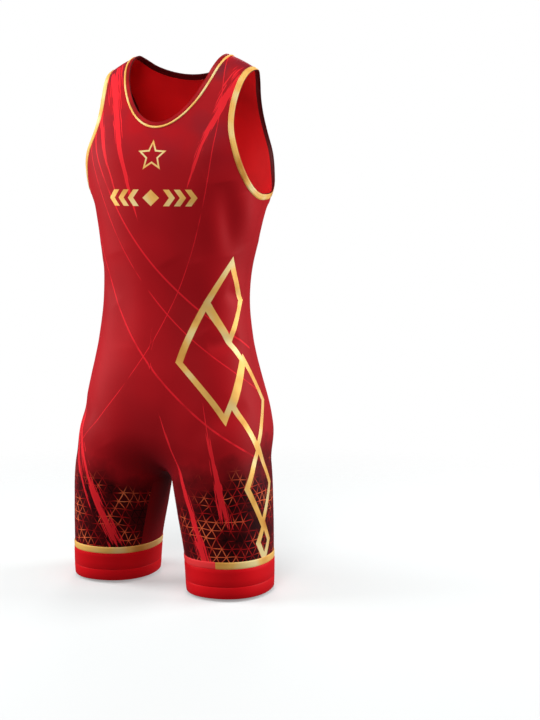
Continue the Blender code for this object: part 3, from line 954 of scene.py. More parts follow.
# %% [markdown]
# ## Knit
#
# Polyester and elastane knit has fine upright wales, far less than a millimetre apart, and a satin
# sheen that brightens where the cloth turns away. The wales are a tiny bump along the UV map, and
# the sheen is the shader's own, tinted red, because dyed knit reflects little white light.

# %% The knit's surface
WALE = 0.0007
COURSE = 0.0009
COURSE_SHARE = 0.35
KNIT_HEIGHT = 0.00002
KNIT_STRENGTH = 0.25
RED_SHEEN = (1.0, 0.09, 0.13)


def waves(value, pitch):
    return (value * (2 * np.pi / pitch)).maths("SINE")


def raise_by(shader, height, strength):
    """A bump from a height that runs from -1 to 1."""
    made = height.tree.nodes.new("ShaderNodeBump")
    made.inputs["Strength"].default_value = strength
    made.inputs["Distance"].default_value = KNIT_HEIGHT
    feed(made.inputs["Height"], height)
    feed(shader.inputs["Normal"], Ink(made.outputs[0]))


def knit(shader, place):
    """The fine ribs of the knit, as a bump."""
    across, down = parts_of(place)
    raise_by(shader, waves(down, COURSE) * COURSE_SHARE + waves(across, WALE), KNIT_STRENGTH)


def satin(shader, roughness, sheen, gloss=0.05):
    """The soft gloss of smooth stretch knit."""
    feed(shader.inputs["Roughness"], roughness)
    feed(shader.inputs["Specular IOR Level"], gloss)
    feed(shader.inputs["Sheen Weight"], sheen)
    feed(shader.inputs["Sheen Roughness"], 0.4)
    feed(shader.inputs["Sheen Tint"], RED_SHEEN)


print("wales to a centimetre:", round(0.01 / WALE))

# %% [markdown]
# The inside, the crotch strip and the cuffs carry no print. Each is one dye, which takes a little
# unevenly, so two tones lie in large soft patches.

# %% Plain cloths
DYE_PATCHES = (9.0, 0.35, 0.65)


def plain_cloth(name, light, dark, roughness, sheen):
    """One colour of knit in two tones."""
    material, tree, shader = new_finish(name)
    feed(shader.inputs["Base Color"], paint(patches(on_object(tree), *DYE_PATCHES), dark, light))
    satin(shader, roughness, sheen)
    knit(shader, on_map(tree, "cloth"))
    return material


LINING = plain_cloth("red lining", (0.80, 0.009, 0.012), (0.58, 0.006, 0.008), 0.6, 0.3)
GUSSET_CLOTH = plain_cloth("dark red knit", (0.30, 0.007, 0.010), (0.22, 0.005, 0.007), 0.5, 0.2)
CUFF_CLOTH = plain_cloth("cuff knit", (0.84, 0.007, 0.013), (0.72, 0.006, 0.011), 0.45, 0.3)
print("plain cloths made")

# %% [markdown]
# Gold tape is satin woven with yellow metal threads. Seen along its length it goes from pale to
# brown and back as its threads catch the light, and that light is painted into its colour: soft
# noise runs it from painted shade to painted highlights. The tapes that bind the neck and the
# armholes show their colour outside only: their inner halves are painted near-black maroon, as
# painted shade.

# %% Colours of the tapes
# Gold, with its painted highlight and its painted shade
GOLD_PAINTED_HIGHLIGHT = (1.0, 0.82, 0.38)
GOLD = (1.0, 0.57, 0.145)
GOLD_PAINTED_SHADE = (0.72, 0.32, 0.055)
TAPE_RED = (0.46, 0.008, 0.012)
TAPE_RED_DARK = (0.28, 0.005, 0.008)
# Painted shade for the inner halves of the neck and armhole tapes
MAROON_PAINTED_SHADE = (0.08, 0.002, 0.003)
STRIPE_RED = (1.0, 0.050, 0.055)
TAPE_RIB = 0.0011
RIB_STRENGTH = 0.4
# The noise over which one tone turns into the next
PAINTED_SHADE_TO_GOLD = (0.30, 0.46)
GOLD_TO_PAINTED_HIGHLIGHT = (0.50, 0.68)
DARK_TO_RED = (0.35, 0.65)


def gold_with_painted_light(tree, scale):
    """Painted shade, middle gold and painted highlights in soft runs, as the metal catches the light.
    """
    run = noise(on_object(tree), scale, 1.0)
    darker = paint(ramp(run, *PAINTED_SHADE_TO_GOLD), GOLD_PAINTED_SHADE, GOLD)
    return paint(ramp(run, *GOLD_TO_PAINTED_HIGHLIGHT), darker, GOLD_PAINTED_HIGHLIGHT)


def red_tones(tree, scale):
    """Two reds in soft runs."""
    run = noise(on_object(tree), scale, 1.0)
    return paint(ramp(run, *DARK_TO_RED), TAPE_RED_DARK, TAPE_RED)


def tape_finish(name):
    """A ribbed satin tape, still without its colour."""
    material, tree, shader = new_finish(name)
    satin(shader, 0.45, 0.05, 0.1)
    around_it, length = parts_of(on_map(tree, "cloth"))
    raise_by(shader, waves(length, TAPE_RIB), RIB_STRENGTH)
    return material, tree, shader, around_it


print("colours of the tapes ready")

# %% [markdown]
# Where a drawn shape ends, its colour ends sharply. So each shape is a distance, below zero inside
# it and above zero outside, and a narrow ramp turns the distance into a share of colour. The tapes
# need the simplest shape, which is all that lies within some distance of a line.

# %% The tapes
EDGE_SOFTNESS = 0.0003
RIM_RUN = 26.0
STRIPE_RUN = 16.0
# How far in from the edges of a tape's coloured stretch its painted edge shade reaches, and the least
# share of colour left at the edge
EDGE_SHADE_WIDTH = 0.0010
EDGE_SHADE_LEAST = 0.55
TURN_SOFTNESS = 0.0008


def inside(distance, softness=EDGE_SOFTNESS):
    """1 inside a shape and 0 outside it, with a narrow soft edge."""
    return ramp(distance, softness, -softness)


def within(value, start, end):
    """Distance to a stretch between two values."""
    return abs(value - (start + end) / 2) - (end - start) / 2


def wrapped(value, half):
    """A value that starts again at minus half each time it passes half."""
    return value.maths("WRAP", half, -half)


def rimmed_cloth(name, start, end, tones, edge_shade):
    """Coloured between two places around the tape, with painted shade at the edges of that stretch, and
    painted near-black maroon shade elsewhere.
    """
    material, tree, shader, around_it = tape_finish(name)
    rim = within(around_it, start, end)
    # Painted shade: the colour darkens towards both edges of its stretch, where the tape rounds over
    colour = paint(ramp(rim, -EDGE_SHADE_WIDTH, 0.0, 1.0, EDGE_SHADE_LEAST), edge_shade, tones(tree, RIM_RUN))
    # Painted shade: the rest of the tape, its inner half, is near-black maroon
    feed(shader.inputs["Base Color"], paint(inside(rim), MAROON_PAINTED_SHADE, colour))
    return material


def parted_cloth(name, red_from, red_to):
    """Gold with one red stretch. The ends are shares of the way round the leg from its front."""
    material, tree, shader, _ = tape_finish(name)
    turn = parts_of(on_map(tree, "round"))[0]
    from_red = abs(wrapped(turn - (red_from + red_to) / 2, 0.5)) - (red_to - red_from) / 2
    red = inside(from_red, TURN_SOFTNESS)
    # The gold carries painted highlights and painted shade
    feed(shader.inputs["Base Color"], paint(red, gold_with_painted_light(tree, STRIPE_RUN), STRIPE_RED))
    return material


# The last colour of each tape is its painted edge shade
PIPING_TAPE = rimmed_cloth("piping tape", 0.0003, 0.0060, gold_with_painted_light, TAPE_RED)
NECK_TAPE = rimmed_cloth("neck tape", 0.0012, 0.0100, red_tones, TAPE_RED_DARK)
ARMHOLE_TAPE = rimmed_cloth("armhole tape", 0.0014, 0.0126, gold_with_painted_light, TAPE_RED)
STRIPE_TAPE = {
    "left": parted_cloth("left stripe tape", 0.599, 1.019),
    "right": parted_cloth("right stripe tape", 0.500, 0.683),
}
print("tapes made:", 3 + len(STRIPE_TAPE))

# %% [markdown]
# ## The print
#
# Sublimated singlets carry a print over the whole cloth. This one is a generic sports design: gold
# diamonds down both sides, torn bright strokes, a mesh of small glowing triangles that fades in
# towards the cuffs, a star and a row of chevrons on the chest. Diamonds and lines come first.


# %% Diamonds and lines
def shifted(place, u, v):
    """The two coordinates of a place, counted from a point."""
    x, y = parts_of(place)
    return x - u, y - v


def least(nearest, *others):
    """The nearest of several shapes."""
    for other in others:
        nearest = nearest.maths("MINIMUM", other)
    return nearest


def common(furthest, *others):
    """What several shapes have in common."""
    for other in others:
        furthest = furthest.maths("MAXIMUM", other)
    return furthest


def from_zero(x, y):
    """How far a point is from where both of its coordinates are zero."""
    return (x * x + y * y).maths("SQRT")


def line_of(distance, width):
    """A line of some width that follows a shape's outline."""
    return abs(distance) - width / 2


def diamond(place, u, v, half_width, half_height):
    x, y = shifted(place, u, v)
    across, along = half_height, half_width
    long = np.hypot(across, along)
    return abs(x) * (across / long) + abs(y) * (along / long) - half_width * half_height / long


def scratch(place, u, v, radius, width):
    """A thin line that follows part of a very large circle."""
    return line_of(from_zero(*shifted(place, u, v)) - radius, width)


print("diamonds and lines ready")

# %% [markdown]
# A torn stroke looks like a dry brush. Noise that is stretched along the stroke makes bristles of
# it: where the noise is high the stroke is narrow, and it ends sooner.

# %% Torn strokes
STRAND_RUN = 22.0
STRAND_ACROSS = 520.0
STRAND_APART = 100
BRISTLES = (0.30, 0.62, 1.25, 0.25)
END_RAGGED = 0.10


def stroke(place, start_u, start_v, end_u, end_v, start_width, end_width):
    """A straight, tapered stroke with bristly sides and ragged ends."""
    x, y = shifted(place, start_u, start_v)
    length = np.hypot(end_u - start_u, end_v - start_v)
    way_u, way_v = (end_u - start_u) / length, (end_v - start_v) / length
    run = x * way_u + y * way_v
    off = y * way_u - x * way_v
    strands = add(
        place.tree, "CombineXYZ", run * STRAND_RUN, off * STRAND_ACROSS, length * STRAND_APART
    )
    torn = noise(strands, 1.0, 1.5)
    half = ramp(run, 0.0, length, start_width / 2, end_width / 2) * ramp(torn, *BRISTLES)
    past = within(run, 0.0, length) + (torn - 0.5) * END_RAGGED
    return common(abs(off) - half, past)


print("strokes ready")

# %% [markdown]
# A star is one straight edge, folded over ten times round its middle. A row of chevrons is a
# stripe pattern that leans back with its height above the row's middle.

# %% The star and the chevrons
STAR_POINTS = 5
STAR_WAIST = 0.45
CHEVRON_LEAN = 0.55
CHEVRON_DIAMOND = 0.8


def star(place, v, radius):
    """A five-pointed star on the middle line, point up."""
    x, y = shifted(place, 0.0, v)
    fold = np.pi / STAR_POINTS
    angle = abs(wrapped(x.maths("ARCTAN2", y * -1), fold))
    waist = radius * STAR_WAIST
    rise, run = waist * np.sin(fold), radius - waist * np.cos(fold)
    long = np.hypot(rise, run)
    out, up = angle.maths("COSINE") * (rise / long), angle.maths("SINE") * (run / long)
    return from_zero(x, y) * (out + up) - rise * radius / long


def chevrons(place, v, pitch, width, height, count):
    """A solid diamond with a row of chevrons that point outwards on both sides of it."""
    x, y = shifted(place, 0.0, v)
    ahead = abs(y) * (pitch * CHEVRON_LEAN / height) + abs(x)
    band = line_of(wrapped(ahead, pitch / 2), width)
    row = common(band, abs(y) - height, within(ahead, 1.5 * pitch, (count + 0.5) * pitch))
    return least(row, diamond(place, 0.0, v, pitch * CHEVRON_DIAMOND, height))


print("star and chevrons ready")

# %% [markdown]
# The print's colours, and the places of its diamonds, strokes and scratches, are kept together here,
# so that the design is easy to change. Lengths across are from the middle line, and lengths down
# follow the cloth from the top of the shoulder, apart from the diamonds, which keep to the side
# seams.

# %% Colours and tables of the print
RED = (0.50, 0.0085, 0.0140)
DEEP_RED = (0.25, 0.0050, 0.0080)
# A greyer red for painted sheen over the straps
PAINTED_SHEEN_RED = (0.19, 0.014, 0.024)
BRIGHT_RED = (0.98, 0.022, 0.033)
SCRATCH_RED = (0.95, 0.018, 0.030)
EMBER = (1.0, 0.17, 0.06)
SPARK = (1.0, 0.42, 0.17)
CINDER = (0.46, 0.009, 0.010)
COAL = (0.007, 0.002, 0.0025)
CELL_RED = (0.055, 0.0025, 0.0035)
GOLD_LINE = 0.0102

# Diamonds: distance from the side seam (in front of the left one, behind the right one), depth
# and half-sizes
SIDE_DIAMONDS = (
    (0.050, 0.395, 0.036, 0.062),
    (0.088, 0.489, 0.055, 0.090),
    (0.028, 0.559, 0.042, 0.070),
    (0.024, 0.690, 0.034, 0.061),
    (0.020, 0.779, 0.016, 0.028),
)
# Strokes: start across, start down the cloth, end across, end down, start width, end width
FRONT_STROKES = (
    (-0.108, 0.050, -0.020, 0.330, 0.036, 0.0010),
    (-0.125, 0.110, -0.060, 0.290, 0.014, 0.0010),
    (0.122, 0.055, 0.060, 0.270, 0.030, 0.0010),
    (-0.165, 0.600, -0.075, 0.850, 0.006, 0.0300),
    (-0.165, 0.650, -0.112, 0.800, 0.022, 0.0020),
    (0.022, 0.640, 0.100, 0.870, 0.001, 0.0240),
    (0.092, 0.620, 0.128, 0.790, 0.001, 0.0180),
)
BACK_STROKES = (
    (-0.112, 0.060, -0.030, 0.300, 0.030, 0.0010),
    (0.118, 0.080, 0.020, 0.330, 0.026, 0.0010),
    (-0.020, 0.330, 0.040, 0.450, 0.010, 0.0010),
    (0.165, 0.590, 0.075, 0.850, 0.006, 0.0280),
    (0.160, 0.650, 0.110, 0.790, 0.020, 0.0020),
    (-0.040, 0.640, -0.105, 0.870, 0.001, 0.0240),
)
# Scratches: centre across and down, radius, width
SCRATCHES = (
    (0.420, 0.020, 0.560, 0.0026),
    (0.450, 0.060, 0.590, 0.0018),
    (0.480, 0.130, 0.640, 0.0028),
    (-0.620, 0.150, 0.720, 0.0014),
)
print("diamonds:", 2 * len(SIDE_DIAMONDS), "strokes:", len(FRONT_STROKES) + len(BACK_STROKES))

# %% [markdown]
# Near the cuffs the cloth looks like dying coals. Three families of lines, 60 degrees apart, make
# the triangles, bent a little by noise so that they don't look ruled. Another noise says how hot
# each stretch of line is, from coal to spark, and the cells behind are nearly black.

# %% The triangle mesh near the cuffs
MESH_PITCH = 0.0135
MESH_LINE = 0.0012
MESH_ANGLES = np.radians((30, 90, 150))
MESH_BEND = 0.022
MESH_BEND_SCALE = 14.0


def triangle_mesh(place):
    """Distance to the nearest line of the mesh."""
    bend_u, bend_v = parts_of(add(place.tree, "TexNoise", place, None, MESH_BEND_SCALE, out=1))
    x, y = parts_of(place)
    x, y = x + (bend_u - 0.5) * MESH_BEND, y + (bend_v - 0.5) * MESH_BEND
    lines = [
        abs(wrapped(x * np.cos(angle) + y * np.sin(angle), MESH_PITCH / 2)) for angle in MESH_ANGLES
    ]
    return least(*lines)


print("lines of the mesh are", MESH_PITCH, "m apart")

# %% [markdown]
# The mesh fades in over a ragged border, which slants down towards the middle of the body. The dark
# cells come in first and the glowing lines a little later.

# %% Cells and glowing lines
MESH_TOP_DOWN = 0.615
MESH_FULL_DOWN = 0.690
MESH_SLANT = 0.27
MESH_CLOUD = 0.14
CLOUD_SCALE = 16.0
CELL_SPREAD = 1.6
CELL_SCALE = 55.0
CELL_TONES = (0.52, 0.78)
HEAT_SCALE = 24.0
# Over the fade: where the cells and the lines come in, and how far they cover the cloth
CELLS_IN = (0.0, 0.7, 0.0, 0.96)
LINES_IN = (0.35, 0.85)
# Heats: from and up to this much noise, most, colour
HEATS = ((0.38, 0.50, 1.0, CINDER), (0.53, 0.64, 1.0, EMBER), (0.66, 0.80, 0.8, SPARK))


def lower_legs(place, side_place, under):
    """Dark cells and glowing lines that fade in towards the cuffs and the outer sides."""
    from_seam, down = parts_of(side_place)
    inward = abs(abs(from_seam) - 1)
    depth = (noise(place, CLOUD_SCALE, 3.0) - 0.5) * MESH_CLOUD + down - inward * MESH_SLANT
    fade = ramp(depth, MESH_TOP_DOWN, MESH_FULL_DOWN)
    cell_tone = inward * CELL_SPREAD + noise(place, CELL_SCALE)
    cells = paint(ramp(cell_tone, *CELL_TONES), COAL, CELL_RED)
    dark = paint(ramp(fade, *CELLS_IN), under, cells)
    heat = noise(place, HEAT_SCALE)
    line_colour = COAL
    for low, high, most, colour in HEATS:
        line_colour = paint(ramp(heat, low, high, 0.0, most), line_colour, colour)
    on_line = inside(line_of(triangle_mesh(place), MESH_LINE))
    return paint(ramp(fade, *LINES_IN) * on_line, dark, line_colour)


print("heats of the lines:", len(HEATS))

# %% [markdown]
# The base colour comes first: two reds in large soft patches, darker towards the legs, with painted
# shade at the crotch and a greyer red in patches over the straps as painted sheen. The triangle mesh
# and the strokes go over it, and the gold goes on last. The gold is printed foil, so it shines more
# than the dye, and along its lines it goes from pale to brown as painted highlights and painted shade.

# %% The base and the badge
RED_PATCHES = (6.0, 0.36, 0.66, 0.45)
PAINTED_SHEEN_PATCHES = (13.0, 0.42, 0.60, 0.85)
# Fades over depth, or over the distance from the middle line
STRAPS_PAINTED_SHEEN = (0.20, 0.04)
CROTCH_SHADE_ACROSS = (0.080, 0.015)
CROTCH_SHADE_DEPTH = (0.54, 0.66, 0.0, 0.75)
LEGS_DEEP = (0.56, 0.76, 0.0, 0.8)
STAR_ALONG = {FRONT: 0.220, BACK: 0.116}
STAR_RADIUS = {FRONT: 0.022, BACK: 0.019}
STAR_LINE = 0.0026
CHEVRONS_ALONG = {FRONT: 0.285, BACK: 0.209}
CHEVRON_PITCH = {FRONT: 0.0180, BACK: 0.0125}
CHEVRON_WIDTH = 0.55
CHEVRON_HEIGHT = 0.72
CHEVRON_COUNT = 4


def base_reds(place, side_place):
    """Two reds in soft patches, deeper down the legs, with painted shade at the crotch and painted
    sheen in greyer patches over the straps.
    """
    across, down = abs(parts_of(place)[0]), parts_of(side_place)[1]
    reds = paint(patches(place, *RED_PATCHES), RED, DEEP_RED)
    # Painted sheen: a greyer red in patches over the straps
    reds = paint(ramp(down, *STRAPS_PAINTED_SHEEN) * patches(place, *PAINTED_SHEEN_PATCHES), reds, PAINTED_SHEEN_RED)
    # Painted shade at the crotch: deeper red near the middle line, low on the body
    reds = paint(ramp(across, *CROTCH_SHADE_ACROSS) * ramp(down, *CROTCH_SHADE_DEPTH), reds, DEEP_RED)
    return paint(ramp(down, *LEGS_DEEP), reds, DEEP_RED)


def badge(place, face):
    """The star's outline and the row of chevrons under it."""
    outline = line_of(star(place, STAR_ALONG[face], STAR_RADIUS[face]), STAR_LINE)
    pitch = CHEVRON_PITCH[face]
    width, height = pitch * CHEVRON_WIDTH, pitch * CHEVRON_HEIGHT
    return outline, chevrons(place, CHEVRONS_ALONG[face], pitch, width, height, CHEVRON_COUNT)


print("star radius on the front:", STAR_RADIUS[FRONT])

# %% [markdown]
# Here all the drawing comes together, in one material for each panel. What is laid on later covers
# what was there before, so the order is that of a printer: base, scratches, mesh, strokes, gold.

# %% The printed cloth
SCRATCH_PATCHES = (20.0, 0.32, 0.46, 0.9)
STROKE_COVER = 0.92
FOIL_RUN = 22.0
FOIL_METAL = 0.1
DYE_ROUGHNESS = 0.5
FOIL_ROUGHNESS = 0.34


def printed_cloth(name, face, stroke_rows):
    """The printed knit of the front or the back."""
    material, tree, shader = new_finish(name)
    place, side_place = on_map(tree, "cloth"), on_map(tree, "side")
    lines = [scratch(place, across * -face, down, *rest) for across, down, *rest in SCRATCHES]
    strokes = [stroke(place, *row) for row in stroke_rows]
    diamonds = [
        line_of(diamond(side_place, seam * (1 - seam * across), *rest), GOLD_LINE)
        for seam in (LEFT, RIGHT)
        for across, *rest in SIDE_DIAMONDS
    ]
    scratched = inside(least(*lines)) * patches(place, *SCRATCH_PATCHES)
    foil = inside(least(*diamonds, *badge(place, face)))

    colour = paint(scratched, base_reds(place, side_place), SCRATCH_RED)
    colour = lower_legs(place, side_place, colour)
    colour = paint(inside(least(*strokes)) * STROKE_COVER, colour, BRIGHT_RED)
    # The gold foil carries painted highlights and painted shade
    feed(shader.inputs["Base Color"], paint(foil, colour, gold_with_painted_light(tree, FOIL_RUN)))
    satin(shader, ramp(foil, 0.0, 1.0, DYE_ROUGHNESS, FOIL_ROUGHNESS), 0.35)
    feed(shader.inputs["Metallic"], foil * FOIL_METAL)
    knit(shader, place)
    return material


FRONT_PRINT = printed_cloth("front print", FRONT, FRONT_STROKES)
BACK_PRINT = printed_cloth("back print", BACK, BACK_STROKES)
print("nodes in the front print:", len(FRONT_PRINT.node_tree.nodes))

# %% [markdown]
# ## The front and the back
#
# Each panel is one piece of cloth from the straps to the stripes, in two mirrored halves that are
# sewn here into one. The front's seams are at the sides, over the shoulders and along the crotch
# strip.

# %% Lengths around the form
GIRTH_ROWS = 141
GIRTH_TURNS = np.radians(np.arange(-120.0, 91.0, 2.0))


def lengths_across(points):
    """Length from each row's first point to every point of the row."""
    steps = np.linalg.norm(np.diff(points, axis=1), axis=2)
    return np.concatenate((np.zeros((len(points), 1)), np.cumsum(steps, axis=1)), axis=1)


def girths(face):
    """Lengths around the form at even steps of along and turn, from the turn of zero."""
    alongs = np.linspace(0, profile_end(face), GIRTH_ROWS)
    lengths = lengths_across(form(alongs[:, None], GIRTH_TURNS))
    return lengths - lengths[:, [np.argmin(np.abs(GIRTH_TURNS))]]


def around(face, lengths, along, turn):
    """The length around the form at any along and turn, between the table's steps."""
    row = np.clip(along / profile_end(face), 0, 1) * (GIRTH_ROWS - 1)
    column = (turn - GIRTH_TURNS[0]) / (GIRTH_TURNS[1] - GIRTH_TURNS[0])
    column = np.clip(column, 0, len(GIRTH_TURNS) - 1)
    r = np.minimum(row.astype(int), GIRTH_ROWS - 2)
    c = np.minimum(column.astype(int), len(GIRTH_TURNS) - 2)
    upper = mix(lengths[r, c], lengths[r, c + 1], column - c)
    lower = mix(lengths[r + 1, c], lengths[r + 1, c + 1], column - c)
    return mix(upper, lower, row - r)


def panel_maps(face, along, turn, points, side):
    """UV maps in metres: from the middle, and from the side seams, which lie at 1 and at -1."""
    lengths = girths(face)
    out = around(face, lengths, along, turn)
    cloth = np.stack((side * (out + section(along)[0]), np.abs(along)), axis=-1)
    from_seam = around(face, lengths, along, np.full(turn.shape, np.pi / 2)) - out
    return {"cloth": cloth, "side": np.stack((side * (1 + face * from_seam), -points[..., 2]), axis=-1)}


print("rows of girths:", GIRTH_ROWS)

# %% [markdown]
# The maps go on while the cloth is a single layer. Its wall comes last, so that the inside has the
# same maps and the knit lies on both faces.

# %% Lay the panels
PANEL_WALL = 0.0013


def both_halves(name, points, normals, maps_of, finish):
    """Cloth on both sides of the garment, sewn at the middle, with its wall and its lining."""
    halves = []
    for side in (LEFT, RIGHT):
        skin = dressed(points, normals, side, np.zeros(points.shape[:-1]))
        halves.append(cloth_grid(name, skin, normals * (side, 1, 1), maps_of(side)))
    piece = finished(sewn(name, halves), finish, LINING)
    thicken(piece, PANEL_WALL)
    smooth(piece)
    print(name, len(piece.data.polygons), "faces,", round(cloth_area(piece), 3), "square metres")
    return piece


def panel(name, face, finish):
    """The front or the back."""
    along, turn = panel_rows(face)
    points, normals = form(along, turn), form_normal(along, turn)
    set_on_middle(points, normals, (slice(NECK_STEPS[face], CROTCH_STEP + 1), 0))

    def maps_of(side):
        return panel_maps(face, along, turn, points, side)

    return both_halves(name, points, normals, maps_of, finish)


front_cloth = panel("front_cloth", FRONT, FRONT_PRINT)
back_cloth = panel("back_cloth", BACK, BACK_PRINT)

# %% [markdown]
# ## The crotch strip
#
# A plain dark strip runs down the inside of one leg, over the crotch and down the other. It keeps
# the seams away from the middle, where they would rub.


# %% Lay the crotch strip
def crotch_strip():
    """The strip, sewn at the middle of the crotch."""
    step = np.arange(0.0, ARCH_STEPS + LEG_STEPS + 1)[:, None]
    points = gusset_form(np.linspace(0, 1, GUSSET_COLUMNS + 1), step)
    normals = field_normal(points)
    set_on_middle(points, normals, (0, slice(None)))
    across = lengths_across(points)
    down = np.broadcast_to(lengths_along(points[:, 0])[:, None], across.shape)

    def maps_of(side):
        return {"cloth": np.stack((across, side * down), axis=-1)}

    return both_halves("crotch_strip", points, normals, maps_of, GUSSET_CLOTH)


crotch_cloth = crotch_strip()

# %% [markdown]
# ## Bands
#
# The neck binding, the piping, the armhole bindings, the stripes and the cuffs are all folded
# tape with a soft round edge. A closed profile is swept along the edge: a rounded box, as wide as
# the tape shows and as thick as its layers.

# %% Sweep a band
PROFILE_POINTS = 24
PROFILE_SQUARENESS = 3.5


def band_profile(width, top, under):
    """Place across the band and height off the form, once round the band's rounded section."""
    angle = np.linspace(0, 2 * np.pi, PROFILE_POINTS + 1)
    size = 1 / superellipse(np.cos(angle), np.sin(angle), PROFILE_SQUARENESS)
    place = width / 2 * (1 - np.cos(angle) * size)
    height = mix(under, top, (1 + np.sin(angle) * size) / 2)
    place[-1], height[-1] = place[0], height[0]
    return place, height


def band_maps(points, place, height):
    """UV maps: metres around the tape and along it, and the share of the way along it."""
    girth = lengths_along(np.stack((place, height), axis=-1))
    length = lengths_along(points[:, 0])[:, None]
    share = np.linspace(0, 1, len(points))[:, None]
    return {
        "cloth": np.stack(np.broadcast_arrays(girth, length), axis=-1),
        "round": np.stack(np.broadcast_arrays(share, girth), axis=-1),
    }


def edge_path(edge, steps, inset):
    """Along and turn on a line beside the neck or an armhole, from the front to the back."""
    front = edge(FRONT, edge_shares(edge, FRONT, steps[FRONT])[::-1], inset)
    back = edge(BACK, edge_shares(edge, BACK, steps[BACK])[1:], inset)
    return [np.concatenate(values) for values in zip(front, back)]


print("points round a band:", PROFILE_POINTS)

# %% [markdown]
# The grid of a band has a row for each step along the edge and a column for each point of the
# profile. The neck's two bands are sewn from halves, and an armhole's band is one ring.


# %% Lay a band along an edge
def edge_band(name, edge, steps, build, sides, finish):
    """A band that follows the neck or an armhole, over the shoulder from the front to the back."""
    start, *profile = build
    place, height = band_profile(*profile)
    paths = [edge_path(edge, steps, start + inset) for inset in place]
    along, turn = (np.stack(values, axis=-1) for values in zip(*paths))
    points, normals = form(along, turn), form_normal(along, turn)
    if len(sides) == 2:
        set_on_middle(points, normals, 0)
        set_on_middle(points, normals, -1)
    else:
        # The armhole's band is a ring, so it ends where it starts
        points[-1], normals[-1] = points[0], normals[0]
    grids = []
    for side in sides:
        skin = dressed(points, normals, side, np.broadcast_to(height, along.shape))
        # Outwards from the band's own centre line
        outward = skin - skin[:, :-1].mean(axis=1, keepdims=True)
        grids.append(cloth_grid(name, skin, outward, band_maps(points, place, height)))
    piece = finished(sewn(name, grids), finish)
    smooth(piece)
    return piece


print("the neck's edge is", (FRONT * neck_edge(FRONT, 1.0, 0)[0]).round(4), "m down the front")

# %% [markdown]
# A binding wraps the raw edge of the cloth, so it starts a little outside the edge and laps over
# the panel. The neck's binding is red outside and painted near-black maroon inside, as painted
# shade, with a thin gold piping beside it, and each armhole has a wider gold binding with the same
# painted shade inside.

# %% Bind the neck and the armholes
SIDES = {"left": LEFT, "right": RIGHT}
# Builds: start of the band from the edge, width, and the heights of its top and its underside
NECK_BUILD = (-0.0006, NECK_BINDING_WIDTH + 0.0008, 0.0009, -0.0020)
PIPING_BUILD = (NECK_BINDING_WIDTH - 0.0002, PIPING_WIDTH + 0.0006, 0.0016, -0.0012)
ARMHOLE_BUILD = (-0.0006, ARMHOLE_BINDING_WIDTH + 0.0012, 0.0011, -0.0021)

NECK = (neck_edge, NECK_STEPS)
ARMHOLE = (armhole_edge, ARMHOLE_STEPS)

neck_band = edge_band("neck_tape", *NECK, NECK_BUILD, (LEFT, RIGHT), NECK_TAPE)
piping = edge_band("neck_piping_cord", *NECK, PIPING_BUILD, (LEFT, RIGHT), PIPING_TAPE)
armhole_bands = [
    edge_band(f"armhole_tape_{word}", *ARMHOLE, ARMHOLE_BUILD, (side,), ARMHOLE_TAPE)
    for word, side in SIDES.items()
]
print("bands along the edges:", 2 + len(armhole_bands))

# %% [markdown]
# A stripe and a cuff go all the way round a leg, so each is one closed ring. The stripe has the
# same round section as the other tapes. The cuff is a doubled band with a sewn groove near its
# middle, and its section is a table: depth, and height off the form, once round from the top.

# %% Sections of the stripe and the cuff
STRIPE_START = CUFF_TOP_DOWN - STRIPE_WIDTH - 0.0004
STRIPE_BUILD = (STRIPE_WIDTH + 0.0008, 0.0010, -0.0016)
CUFF = table(
    "down rise",
    (0.8150, 0.0002),
    (0.8165, 0.0010),
    (0.8215, 0.0013),
    (0.8330, 0.0013),
    (0.8425, 0.0013),
    (0.8433, 0.0010),
    (0.8439, 0.0006),
    (0.8445, 0.0010),
    (0.8453, 0.0013),
    (0.8540, 0.0012),
    (0.8615, 0.0008),
    (0.8628, 0.0000),
    (0.8630, -0.0008),
    (0.8628, -0.0016),
    (0.8610, -0.0020),
    (0.8450, -0.0018),
    (0.8300, -0.0016),
    (0.8152, -0.0016),
    (0.8150, -0.0008),
)
print("points round a cuff:", len(CUFF["down"]))

# %% [markdown]
# Round a leg the turn runs from the front over the outer side to the back, and then over the inner
# side to the front again.

# %% Stripes and cuffs
LEG_SEGMENTS = 160


def leg_path(downs):
    """Along and turn once round the left leg, from its front over its outer side."""
    angle = np.linspace(0, 2 * np.pi, LEG_SEGMENTS + 1)[:, None]
    along = np.where(np.cos(angle) > 0, along_of(FRONT, downs), along_of(BACK, downs))
    return np.broadcast_arrays(along, np.arctan2(np.sin(angle), np.abs(np.cos(angle))))


def leg_band(name, side, downs, rises, finish):
    """A closed band around one leg, its profile given once round."""
    downs, rises = np.append(downs, downs[0]), np.append(rises, rises[0])
    along, turn = leg_path(downs)
    points, normals = form(along, turn), form_normal(along, turn)
    points[-1], normals[-1] = points[0], normals[0]
    skin = dressed(points, normals, side, np.broadcast_to(rises, along.shape))
    outward = skin - skin[:, :-1].mean(axis=1, keepdims=True)
    grid = cloth_grid(name, skin, outward, band_maps(points, downs, rises))
    piece = finished(sewn(name, [grid]), finish)
    smooth(piece)
    return piece


stripe_place, stripe_rise = (values[:-1] for values in band_profile(*STRIPE_BUILD))
stripe_down = STRIPE_START + stripe_place
stripes, cuffs = [], []
for word, side in SIDES.items():
    stripes.append(leg_band(f"stripe_{word}", side, stripe_down, stripe_rise, STRIPE_TAPE[word]))
    cuffs.append(leg_band(f"cuff_knit_{word}", side, CUFF["down"], CUFF["rise"], CUFF_CLOTH))
print("stripes and cuffs:", len(stripes) + len(cuffs))

# %% [markdown]
# ## Stitches
#
# Stretch garments are sewn with soft thread. Rows of short stitches hold the tape on the neck and
# the armholes, run along the top of each cuff and in its groove, and lie beside the seams. One
# stitch is a small rounded grain. It is modelled once, and a row repeats it at an even pitch.

